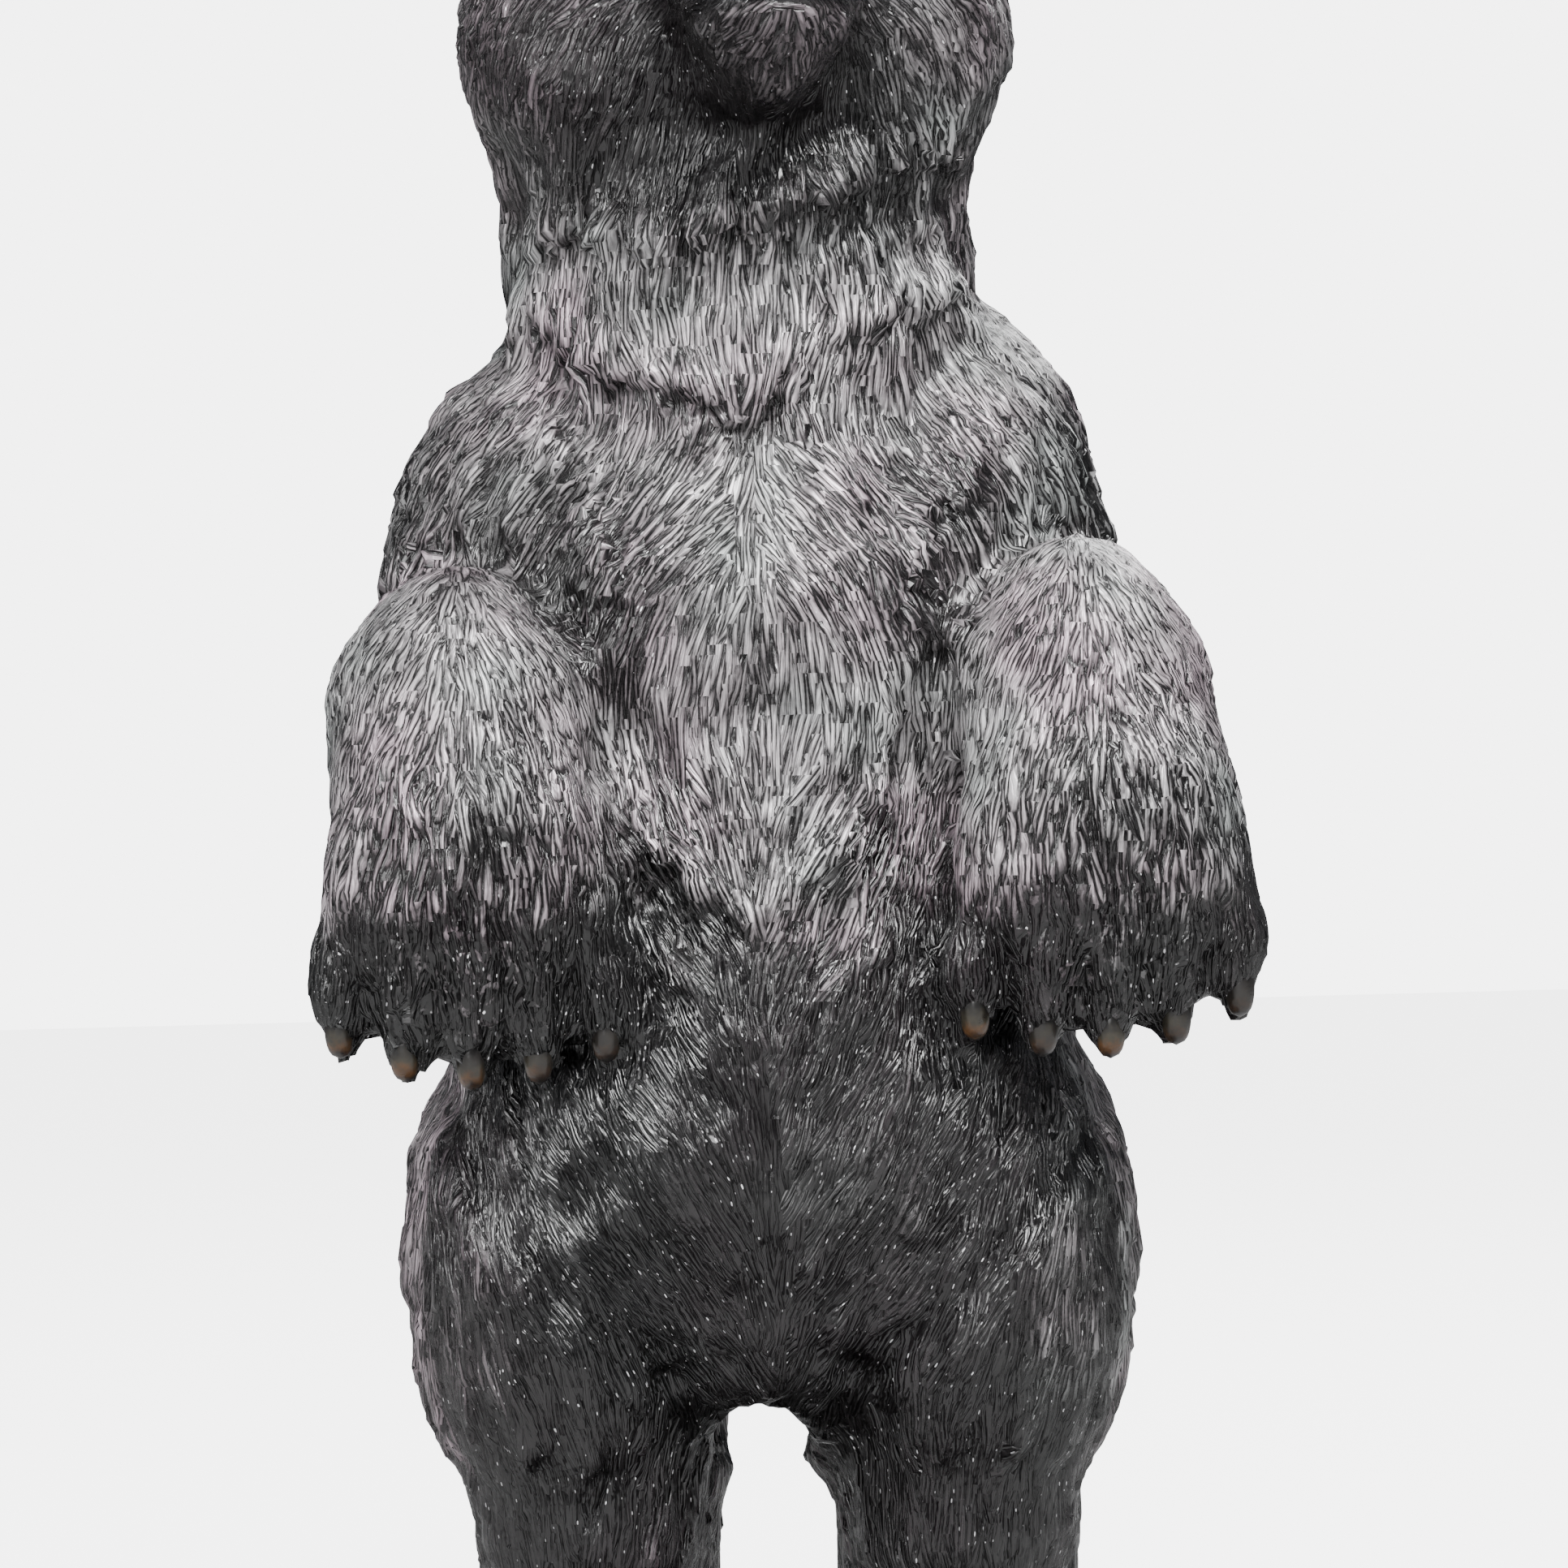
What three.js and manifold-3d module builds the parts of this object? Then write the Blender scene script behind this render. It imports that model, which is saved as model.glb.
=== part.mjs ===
import * as THREE from "three";
import Module from "manifold-3d";
import { mergeVertices } from "three/addons/utils/BufferGeometryUtils.js";

// A bear that stands upright with its forepaws hanging in front of it, cast in one piece of resin
// with a low ground base. The bear faces -Y, Z is up, and the origin is on the base's flat underside.
// All sizes are in millimetres.

// Driving dimensions
const baseHeight = 20;
const baseHalfWidth = 106;
const baseHalfDepth = 104;
const baseCentreY = -18;
const crotchHeight = 139;
const hipHeight = 180;
const hipHalfWidth = 99;
const bellyHeight = 222;
const chestHeight = 352;
const shoulderHeight = 378;
const shoulderHalfWidth = 96;
const neckHalfWidth = 63;
const chinHeight = 478;
const headTurnDegrees = 8;
const headShift = -4.5;
const lockProud = 4;
const lockTipRadius = 2.2;

// The surface is first laid out on a grid of this step, and then thinned to this many triangles.
const gridStep = 4;
const bodyTriangles = 9600;

const wasm = await Module();
wasm.setup();

// Clay masses. Each is an egg or a tapered limb, and they run into each other over the width blend.
function egg(at, size, blend = 14, turn = [0, 0, 0]) {
  const angles = turn.map(THREE.MathUtils.degToRad);
  const rotation = new THREE.Matrix3().setFromMatrix4(
    new THREE.Matrix4().makeRotationFromEuler(new THREE.Euler(...angles, "XYZ")).transpose(),
  );
  return { kind: "egg", at, size, blend, rotation: rotation.elements, reach: Math.max(...size) };
}

function limb(from, to, fromRadius, toRadius, blend = 14) {
  const along = to.map((value, axis) => value - from[axis]);
  const length = Math.hypot(...along);
  const at = from.map((value, axis) => value + along[axis] / 2);
  const reach = length / 2 + Math.max(fromRadius, toRadius);
  return { kind: "limb", from, along, length, fromRadius, toRadius, blend, at, reach };
}

// The same mass, taken away instead of added.
function hollow(mass) {
  return { ...mass, cut: true };
}

function eggDistance(mass, x, y, z) {
  const r = mass.rotation;
  const px = x - mass.at[0];
  const py = y - mass.at[1];
  const pz = z - mass.at[2];
  const [a, b, c] = mass.size;
  const qx = (r[0] * px + r[3] * py + r[6] * pz) / a;
  const qy = (r[1] * px + r[4] * py + r[7] * pz) / b;
  const qz = (r[2] * px + r[5] * py + r[8] * pz) / c;
  const near = Math.sqrt(qx * qx + qy * qy + qz * qz);
  const slope = Math.sqrt((qx / a) ** 2 + (qy / b) ** 2 + (qz / c) ** 2);
  const deepest = -Math.min(a, b, c);
  return slope < 1e-9 ? deepest : Math.max((near * (near - 1)) / slope, deepest);
}

function limbDistance(mass, x, y, z) {
  const px = x - mass.from[0];
  const py = y - mass.from[1];
  const pz = z - mass.from[2];
  const [ax, ay, az] = mass.along;
  const share = Math.min(1, Math.max(0, (px * ax + py * ay + pz * az) / (mass.length * mass.length)));
  const gap = Math.hypot(px - share * ax, py - share * ay, pz - share * az);
  return gap - mass.fromRadius - share * (mass.toRadius - mass.fromRadius);
}

function massDistance(mass, x, y, z) {
  return mass.kind === "egg" ? eggDistance(mass, x, y, z) : limbDistance(mass, x, y, z);
}

function smoothMin(a, b, blend) {
  const overlap = Math.max(blend - Math.abs(a - b), 0);
  return Math.min(a, b) - (overlap * overlap) / (4 * blend);
}

function blended(masses, x, y, z) {
  let distance = 1e3;
  for (const mass of masses) {
    const far = Math.hypot(x - mass.at[0], y - mass.at[1], z - mass.at[2]) - mass.reach - mass.blend;
    if (mass.cut) {
      if (far < -distance || far < 0) {
        distance = -smoothMin(-distance, massDistance(mass, x, y, z), mass.blend);
      }
    } else if (far < distance) {
      distance = smoothMin(distance, massDistance(mass, x, y, z), mass.blend);
    }
  }
  return distance;
}

// Torso
function torsoMasses() {
  const masses = [
    egg([0, 12, hipHeight + 4], [84, 72, 66], 20),
    egg([0, -17, bellyHeight], [79, 68, 86], 16),
    egg([0, 2, 292], [84, 72, 82], 30),
    egg([0, -2, chestHeight], [80, 68, 62], 30),
    egg([0, 34, 382], [66, 54, 72], 26),
    limb([0, 14, 404], [headShift, 4, 482], neckHalfWidth + 3, neckHalfWidth - 2, 22),
    egg([52, 14, 408], [34, 34, 30], 16),
    egg([0, 84, 158], [11, 13, 20], 12, [-20, 0, 0]),
  ];
  for (const side of [-1, 1]) {
    masses.push(egg([side * 56 - 1.5, 6, shoulderHeight + side * 2], [shoulderHalfWidth - 57, 46, 52], 14));
    masses.push(egg([side * 38, 42, hipHeight - 12], [48, 42, 60], 24));
  }
  return masses;
}

// Legs, with a round thigh that bulges out beside the belly, and a flat foot with five toes
const toesPerFoot = 5;
const footCentre = [48, -34, 33];

function toeAt(side, index) {
  const spread = (index / (toesPerFoot - 1)) * 2 - 1;
  const forward = 12 * spread * spread;
  return [side * footCentre[0] + spread * 27, footCentre[1] - 54 + forward, footCentre[2] - 6];
}

function legMasses(side) {
  const masses = [
    egg([side * 53, -2, hipHeight - 2], [hipHalfWidth - 52, 70, 79], 9),
    limb([side * 48.5, 2, 132], [side * 49, 8, 58], 34, 31, 12),
    egg([side * 50, -22, 112], [29, 30, 36], 12),
    egg([side * footCentre[0], footCentre[1], footCentre[2]], [33, 60, 19], 12),
    egg([side * 49, 14, 40], [31, 34, 24], 12),
  ];
  for (let index = 0; index < toesPerFoot; index++) {
    masses.push(egg(toeAt(side, index), [7.6, 16, 12.5], 3));
  }
  return masses;
}

// Arms. The elbow is bent, the forearm comes forward and the paw hangs from the wrist.
// The bear's left arm, on +X, stands out more.
const clawsPerPaw = 5;
const arms = [
  {
    side: -1,
    shoulder: [-67, 8, 372],
    elbow: [-79, 18, 343],
    wrist: [-75.5, -56, 330],
    wristRadius: 35,
    paw: [-74, -76, 278],
    swing: -4,
  },
  {
    side: 1,
    shoulder: [61, 8, 374],
    elbow: [77, 18, 342],
    wrist: [84.5, -56, 336],
    wristRadius: 33,
    paw: [88, -76, 282],
    swing: 6,
  },
];
const pawSize = [38.5, 26, 38];

function fingerAt(arm, index) {
  const spread = (index / (clawsPerPaw - 1)) * 2 - 1;
  const rise = 7 * spread * spread;
  const swing = THREE.MathUtils.degToRad(arm.swing);
  const across = spread * 34;
  const drop = -27 + rise;
  return [
    arm.paw[0] + across * Math.cos(swing),
    arm.paw[1] - 5 + 7 * spread * spread,
    arm.paw[2] + drop + across * Math.sin(swing) * 0.6,
  ];
}

function armMasses(arm) {
  const masses = [
    limb(arm.shoulder, arm.elbow, 30, 30, 12),
    limb(arm.elbow, arm.wrist, 30, arm.wristRadius, 5),
    limb(arm.wrist, [arm.paw[0], arm.paw[1] + 8, arm.paw[2] + 18], arm.wristRadius, 35.5, 6),
    egg(arm.paw, pawSize, 7, [-4, arm.swing, 0]),
  ];
  for (let index = 0; index < clawsPerPaw; index++) {
    masses.push(egg(fingerAt(arm, index), [8.4, 14, 15], 3.5, [-8, arm.swing, 0]));
  }
  return masses;
}

// Head, turned a little to the bear's left, with cheeks, muzzle, brow and round ears
const headPivot = [0, 4, chinHeight];

function onHead(point) {
  const turned = new THREE.Vector3(...point).sub(new THREE.Vector3(...headPivot));
  turned.applyAxisAngle(new THREE.Vector3(0, 0, 1), THREE.MathUtils.degToRad(headTurnDegrees));
  return turned.add(new THREE.Vector3(...headPivot)).add(new THREE.Vector3(headShift, 0, 0)).toArray();
}

function headEgg(at, size, blend, turn = [0, 0, 0]) {
  return egg(onHead(at), size, blend, [turn[0], turn[1], turn[2] + headTurnDegrees]);
}

function headLimb(from, to, fromRadius, toRadius, blend) {
  return limb(onHead(from), onHead(to), fromRadius, toRadius, blend);
}

const eyeAt = { across: 24.5, forward: -66, height: 537, radius: 4.8 };
const noseAt = { forward: -120, height: 517 };

function headMasses() {
  const masses = [
    headEgg([0, -6, 533], [64, 62, 54], 18),
    headEgg([0, -34, 544], [42, 36, 36], 16),
    headLimb([0, -58, 518], [0, -104, 511], 30, 21, 14),
    headEgg([0, -96, 503], [21, 22, 15], 8),
    headLimb([0, -50, 500], [0, -88, 494], 24, 13, 8),
    headEgg([0, -116, 516], [14.5, 9, 10.5], 4),
  ];
  for (const side of [-1, 1]) {
    masses.push(headEgg([side * 41, -22, 507], [33, 40, 38], 14, [0, side * 12, 0]));
    masses.push(headEgg([side * 21, -58, 547], [17, 15, 9], 7, [0, side * 10, 0]));
    masses.push(headEgg([side * 48, 4, 580], [20, 11, 22], 9, [0, side * 22, side * 18]));
    masses.push(hollow(headEgg([side * 49, -6, 582], [12.5, 8.5, 14], 3, [0, side * 22, side * 18])));
    masses.push(hollow(headEgg([side * (eyeAt.across + 1), -71, 538], [8.5, 5.5, 5.5], 4)));
    masses.push(hollow(headEgg([side * 7.2, -124, 517.5], [3.6, 4, 3.4], 1.5)));
  }
  masses.push(hollow(headLimb([0, -128, 499.5], [0, -96, 499.5], 1.6, 1.6, 2)));
  return masses;
}

// Ground base: a low oval slab with a broken edge and a gently uneven top
function baseDistance(x, y, z) {
  const angle = Math.atan2(y - baseCentreY, x);
  const ragged =
    1 + 0.016 * Math.sin(5 * angle + 0.6) + 0.013 * Math.sin(9 * angle + 2.1) + 0.008 * Math.sin(17 * angle);
  const radius = Math.hypot(x / baseHalfWidth, (y - baseCentreY) / baseHalfDepth) / ragged;
  const flare = 4 * (1 - z / baseHeight);
  const outside = (radius - 1) * Math.min(baseHalfWidth, baseHalfDepth) - flare;
  const swell = 1.3 * Math.sin(x / 17) * Math.cos(y / 14) + 0.7 * Math.sin((x + y) / 8);
  const above = z - baseHeight - swell + 6 * radius * radius * radius;
  return Math.max(-smoothMin(-outside, -above, 7), -4 - z);
}

const bodyMasses = [
  ...torsoMasses(),
  ...legMasses(-1),
  ...legMasses(1),
  ...arms.flatMap(armMasses),
  ...headMasses(),
  hollow(limb([-4, -80, crotchHeight - 6], [-2, 76, crotchHeight - 18], 13.5, 12.5, 4)),
];

function smoothBear(x, y, z) {
  return smoothMin(blended(bodyMasses, x, y, z), baseDistance(x, y, z), 5);
}

// Fur locks. Each is a tapered stroke of clay, its root sunk in the body and its tip standing proud.
function slopeAt(point) {
  const step = 0.6;
  const [x, y, z] = point;
  return new THREE.Vector3(
    smoothBear(x + step, y, z) - smoothBear(x - step, y, z),
    smoothBear(x, y + step, z) - smoothBear(x, y - step, z),
    smoothBear(x, y, z + step) - smoothBear(x, y, z - step),
  ).normalize();
}

function onSkin(point) {
  const moved = new THREE.Vector3(...point);
  for (let step = 0; step < 12; step++) {
    const distance = smoothBear(moved.x, moved.y, moved.z);
    moved.addScaledVector(slopeAt(moved.toArray()), -0.9 * distance);
  }
  return moved;
}

function furLock(root, comb, length, width, proud) {
  const start = onSkin(root);
  const outward = slopeAt(start.toArray());
  const along = comb.clone().addScaledVector(outward, -comb.dot(outward)).normalize();
  const tip = onSkin(start.clone().addScaledVector(along, length).toArray());
  tip.addScaledVector(slopeAt(tip.toArray()), proud - lockTipRadius);
  start.addScaledVector(outward, -width * 0.3);
  return limb(start.toArray(), tip.toArray(), width / 2, lockTipRadius, 1.8);
}

// A row of locks along a line of points near the surface. combs is how the hair lies at its two ends.
function lockRow({ through, combs, count, length = 28, width = 12, proud = lockProud, mirror = true }) {
  const line = new THREE.CatmullRomCurve3(through.map((point) => new THREE.Vector3(...point)));
  const locks = [];
  for (let index = 0; index < count; index++) {
    const share = count === 1 ? 0.5 : index / (count - 1);
    const uneven = Math.sin(index * 2.4 + through[0][2]);
    const at = line.getPointAt(share);
    const comb = new THREE.Vector3(...combs[0]).lerp(new THREE.Vector3(...combs[1]), share);
    const stagger = 7 * Math.sin(index * 3.9 + through[0][2] * 0.7);
    const longer = length * (1 + 0.18 * uneven);
    const wider = width * (1 + 0.12 * Math.sin(index * 1.7));
    for (const side of mirror ? [1, -1] : [1]) {
      const root = [side * at.x, at.y, at.z + length * 0.25 + stagger];
      locks.push(furLock(root, new THREE.Vector3(side * comb.x, comb.y, comb.z), longer, wider, proud));
    }
  }
  return locks;
}

const down = [0, 0, -1];
const rows = {
  cheekRuff: {
    through: [[62, -14, 528], [60, -22, 508], [42, -36, 490]],
    combs: [[0.3, 0.3, -1], [-0.1, 0.1, -1]],
    count: 6,
  },
  jawBack: {
    through: [[66, 8, 510], [62, 0, 492], [46, -30, 478]],
    combs: [[0.1, 0.2, -1], [0, 0, -1]],
    count: 6,
    length: 23,
  },
  throatFold: {
    through: [[54, -34, 486], [34, -50, 474], [8, -58, 466]],
    combs: [[-0.3, 0, -1], [-0.1, 0, -1]],
    count: 6,
    length: 22,
    mirror: false,
  },
  neckUpper: {
    through: [[64, 4, 462], [44, -42, 458], [8, -58, 452]],
    combs: [[0.1, 0, -1], [0, 0, -1]],
    count: 7,
    length: 23,
  },
  neckRuff: {
    through: [[64, -4, 450], [50, -40, 436], [24, -64, 424], [3, -68, 418]],
    combs: [[0.1, 0, -1], down],
    count: 9,
  },
  shoulderEdge: {
    through: [[99, 6, 386], [88, -32, 386], [66, -46, 388]],
    combs: [[0.1, -0.2, -1], [-0.1, 0, -1]],
    count: 6,
    length: 30,
  },
  shoulderTop: {
    through: [[90, 8, 408], [74, -30, 408], [58, -44, 402]],
    combs: [[0.35, 0, -1], [0.3, 0, -1]],
    count: 5,
    length: 23,
  },
  armpit: {
    through: [[56, -52, 402], [54, -56, 384], [46, -64, 366]],
    combs: [[0.4, 0, -1], [0.1, 0, -1]],
    count: 5,
    length: 30,
  },
  breastFan: {
    through: [[14, -70, 396], [22, -70, 378], [28, -70, 360]],
    combs: [[0.7, 0, -1], [0.35, 0, -1]],
    count: 4,
    length: 30,
  },
  breastLower: {
    through: [[40, -66, 360], [24, -72, 352], [5, -74, 352]],
    combs: [[0, 0, -1], [0.1, 0, -1]],
    count: 5,
    length: 30,
  },
  bibUpper: {
    through: [[34, -74, 330], [18, -78, 316], [3, -80, 306]],
    combs: [[-0.3, 0, -1], [-0.1, 0, -1]],
    count: 5,
    length: 30,
  },
  bibPoint: {
    through: [[37, -74, 304], [20, -80, 293], [3, -83, 283]],
    combs: [[-0.45, 0, -1], [-0.12, 0, -1]],
    count: 6,
    length: 30,
    proud: 5.6,
  },
  bellyUpper: {
    through: [[36, -78, 268], [20, -84, 259], [4, -86, 250]],
    combs: [[-0.4, 0, -1], [-0.1, 0, -1]],
    count: 6,
    length: 30,
  },
  bellyLower: {
    through: [[70, -56, 232], [38, -80, 218], [6, -86, 206]],
    combs: [[-0.4, 0, -1], [-0.1, 0, -1]],
    count: 8,
    length: 30,
    proud: 3.6,
  },
  bellyFringe: {
    through: [[80, -36, 212], [58, -58, 182], [30, -64, 168], [4, -62, 166]],
    combs: [[-0.4, 0, -1], [-0.1, 0.1, -1]],
    count: 9,
    length: 23,
  },
  thighSide: {
    through: [[97, -30, 206], [100, 10, 208], [92, 44, 206]],
    combs: [[0.05, 0, -1], [0, 0, -1]],
    count: 6,
    length: 36,
  },
  thighLow: {
    through: [[34, -68, 150], [66, -60, 152], [96, -14, 150], [92, 36, 150]],
    combs: [[-0.2, 0, -1], [0, 0, -1]],
    count: 9,
    length: 30,
  },
  shinFringe: {
    through: [[24, -36, 98], [50, -50, 96], [80, -18, 96], [78, 24, 96]],
    combs: [[0, -0.1, -1], [0, 0, -1]],
    count: 9,
    length: 30,
  },
  ankleFringe: {
    through: [[22, -24, 66], [50, -42, 64], [78, -8, 64], [66, 34, 64]],
    combs: [[0, -0.5, -1], [0, 0, -1]],
    count: 8,
    length: 23,
  },
  flank: {
    through: [[86, 30, 300], [84, 52, 296], [66, 72, 292]],
    combs: [[0, 0.1, -1], [0, 0.1, -1]],
    count: 5,
    length: 36,
  },
  flankLow: {
    through: [[88, 16, 258], [84, 46, 252], [62, 72, 250]],
    combs: [[0, 0, -1], [0, 0.1, -1]],
    count: 6,
    length: 36,
  },
  napeRuff: {
    through: [[64, 26, 452], [44, 58, 448], [8, 70, 444]],
    combs: [[0.1, 0.1, -1], [0, 0.1, -1]],
    count: 6,
    length: 30,
  },
  backUpper: {
    through: [[70, 56, 400], [40, 82, 396], [7, 90, 388]],
    combs: [[0, 0.1, -1], [-0.1, 0.1, -1]],
    count: 6,
    length: 36,
  },
  backMiddle: {
    through: [[66, 66, 346], [38, 80, 340], [7, 84, 330]],
    combs: [[0, 0, -1], [-0.15, 0, -1]],
    count: 6,
    length: 36,
  },
  backLow: {
    through: [[60, 70, 220], [36, 82, 224], [7, 86, 222]],
    combs: [[0, 0.1, -1], [-0.1, 0.1, -1]],
    count: 6,
    length: 36,
  },
  rumpFold: {
    through: [[84, 44, 200], [52, 76, 198], [10, 82, 196]],
    combs: [[-0.05, 0.1, -1], [-0.1, 0.1, -1]],
    count: 6,
    length: 34,
  },
  rumpLow: {
    through: [[88, 30, 166], [60, 76, 160], [22, 84, 158]],
    combs: [[0, 0, -1], [0, 0, -1]],
    count: 6,
    length: 34,
  },
  hamFringe: {
    through: [[84, 26, 128], [58, 52, 120], [22, 50, 122]],
    combs: [[0, 0, -1], [0, 0, -1]],
    count: 6,
    length: 30,
  },
  calfFringe: {
    through: [[80, 18, 92], [52, 38, 92], [22, 22, 92]],
    combs: [[0, 0, -1], [0, 0, -1]],
    count: 6,
    length: 26,
  },
  loin: {
    through: [[78, 58, 276], [44, 78, 274], [8, 82, 272]],
    combs: [[0, 0.1, -1], [0, 0.1, -1]],
    count: 6,
    length: 34,
  },
  neckBack: {
    through: [[62, 20, 500], [46, 50, 498], [8, 62, 494]],
    combs: [[0.1, 0.1, -1], [0, 0.1, -1]],
    count: 6,
    length: 32,
  },
  crownBack: {
    through: [[48, 26, 566], [26, 44, 560], [6, 50, 556]],
    combs: [[0.1, 0.4, -1], [0, 0.4, -1]],
    count: 5,
    length: 30,
  },
};

// Locks at the elbow, on the outside of the forearm and over the back of the paw, for each arm
function armRows(arm) {
  const [ex, ey, ez] = arm.elbow;
  const [px, py, pz] = arm.paw;
  const out = arm.side;
  return [
    {
      through: [
        [ex + out * 30, ey - 6, ez - 4],
        [ex + out * 20, ey + 26, ez - 6],
        [ex, ey + 34, ez - 10],
      ],
      combs: [[0, 0, -1], [0, 0.1, -1]],
      count: 5,
      length: 36,
    },
    {
      through: [[ex + out * 30, ey - 36, ez - 20], [px + out * 38, py + 30, pz + 8]],
      combs: [[0, 0.2, -1], [0, 0.1, -1]],
      count: 5,
      length: 30,
    },
    {
      through: [
        [px - out * 34, py - 20, pz + 28],
        [px, py - 30, pz + 22],
        [px + out * 34, py - 20, pz + 28],
      ],
      combs: [down, down],
      count: 7,
      length: 23,
    },
    {
      through: [
        [px - out * 26, py - 26, pz + 3],
        [px, py - 30, pz - 2],
        [px + out * 28, py - 24, pz + 3],
      ],
      combs: [down, down],
      count: 6,
      length: 23,
      width: 10,
      proud: 3.4,
    },
  ].map((row) => ({ ...row, mirror: false }));
}

const locks = [...Object.values(rows), ...arms.flatMap(armRows)].flatMap(lockRow);

const lockBands = new Map();
const bandHeight = 12;
for (const lock of locks) {
  const lowest = Math.floor((lock.at[2] - lock.reach - 3) / bandHeight);
  const highest = Math.floor((lock.at[2] + lock.reach + 3) / bandHeight);
  for (let band = lowest; band <= highest; band++) {
    if (!lockBands.has(band)) lockBands.set(band, []);
    lockBands.get(band).push(lock);
  }
}

function carvedBear(x, y, z) {
  const smooth = smoothBear(x, y, z);
  const near = lockBands.get(Math.floor(z / bandHeight));
  if (!near || Math.abs(smooth) > 14) return smooth;
  let distance = smooth;
  for (const lock of near) {
    const far = Math.hypot(x - lock.at[0], y - lock.at[1], z - lock.at[2]) - lock.reach - lock.blend;
    if (far < distance) distance = smoothMin(distance, limbDistance(lock, x, y, z), lock.blend);
  }
  return distance;
}

// Lays a skin of triangles where the distance is zero. Each grid cube is cut into six tetrahedra,
// so the skin always closes.
const cubeCorners = Array.from({ length: 8 }, (_, corner) => [corner & 1, (corner >> 1) & 1, corner >> 2]);
const cubeTetrahedra = [[0, 1, 3, 7], [0, 3, 2, 7], [0, 2, 6, 7], [0, 6, 4, 7], [0, 4, 5, 7], [0, 5, 1, 7]];

function layOut(distance, low, high, step) {
  const counts = low.map((value, axis) => Math.ceil((high[axis] - value) / step) + 1);
  const [nx, ny, nz] = counts;
  const values = new Float64Array(nx * ny * nz);
  const number = (i, j, k) => i + nx * (j + ny * k);
  const blocks = new Map();
  const blockCells = 6;
  const blockReach = blockCells * step;
  const blockValue = (i, j, k) => {
    const block = [i, j, k].map((value) => Math.floor(value / blockCells));
    const key = block.join(" ");
    if (!blocks.has(key)) {
      blocks.set(key, distance(...block.map((value, axis) => low[axis] + (value + 0.5) * blockReach)));
    }
    return blocks.get(key);
  };
  for (let k = 0; k < nz; k++) {
    for (let j = 0; j < ny; j++) {
      for (let i = 0; i < nx; i++) {
        const rough = blockValue(i, j, k);
        const value = Math.abs(rough) > 1.7 * blockReach
          ? rough
          : distance(low[0] + i * step, low[1] + j * step, low[2] + k * step);
        values[number(i, j, k)] = Math.abs(value) < 1e-3 ? 1e-3 : value;
      }
    }
  }
  const place = (corner) => [
    low[0] + (corner % nx) * step,
    low[1] + (Math.floor(corner / nx) % ny) * step,
    low[2] + Math.floor(corner / (nx * ny)) * step,
  ];
  const points = [];
  const crossings = new Map();
  const crossing = (a, b) => {
    const key = a < b ? a * values.length + b : b * values.length + a;
    if (!crossings.has(key)) {
      const share = THREE.MathUtils.clamp(values[a] / (values[a] - values[b]), 0.08, 0.92);
      const from = place(a);
      const to = place(b);
      crossings.set(key, points.length);
      points.push(from.map((value, axis) => value + share * (to[axis] - value)));
    }
    return crossings.get(key);
  };
  const faces = [];
  const face = (a, b, c, inside) => {
    const [p, q, r] = [a, b, c].map((index) => new THREE.Vector3(...points[index]));
    const normal = q.clone().sub(p).cross(r.clone().sub(p));
    const outward = p.clone().sub(new THREE.Vector3(...place(inside)));
    faces.push(normal.dot(outward) >= 0 ? [a, b, c] : [a, c, b]);
  };
  for (let k = 0; k < nz - 1; k++) {
    for (let j = 0; j < ny - 1; j++) {
      for (let i = 0; i < nx - 1; i++) {
        const corners = cubeCorners.map(([a, b, c]) => number(i + a, j + b, k + c));
        const within = corners.filter((corner) => values[corner] < 0).length;
        if (within === 0 || within === 8) continue;
        for (const tetrahedron of cubeTetrahedra) {
          const four = tetrahedron.map((corner) => corners[corner]);
          const inner = four.filter((corner) => values[corner] < 0);
          const outer = four.filter((corner) => values[corner] >= 0);
          if (inner.length === 1) {
            face(...outer.map((corner) => crossing(inner[0], corner)), inner[0]);
          } else if (inner.length === 3) {
            face(...inner.map((corner) => crossing(outer[0], corner)), inner[0]);
          } else if (inner.length === 2) {
            const [a, b] = inner;
            const [c, d] = outer;
            face(crossing(a, c), crossing(a, d), crossing(b, d), a);
            face(crossing(a, c), crossing(b, d), crossing(b, c), a);
          }
        }
      }
    }
  }
  return { points, faces };
}

// Thins a skin by drawing short edges together where that changes the form least (quadric error),
// until the wanted number of faces is left.
const sliverArea = 1.5;
const leastAgreement = 0.2;
const leastArea = 0.02;
const edgeCost = 0.01;
const longestMove = 8;

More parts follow.
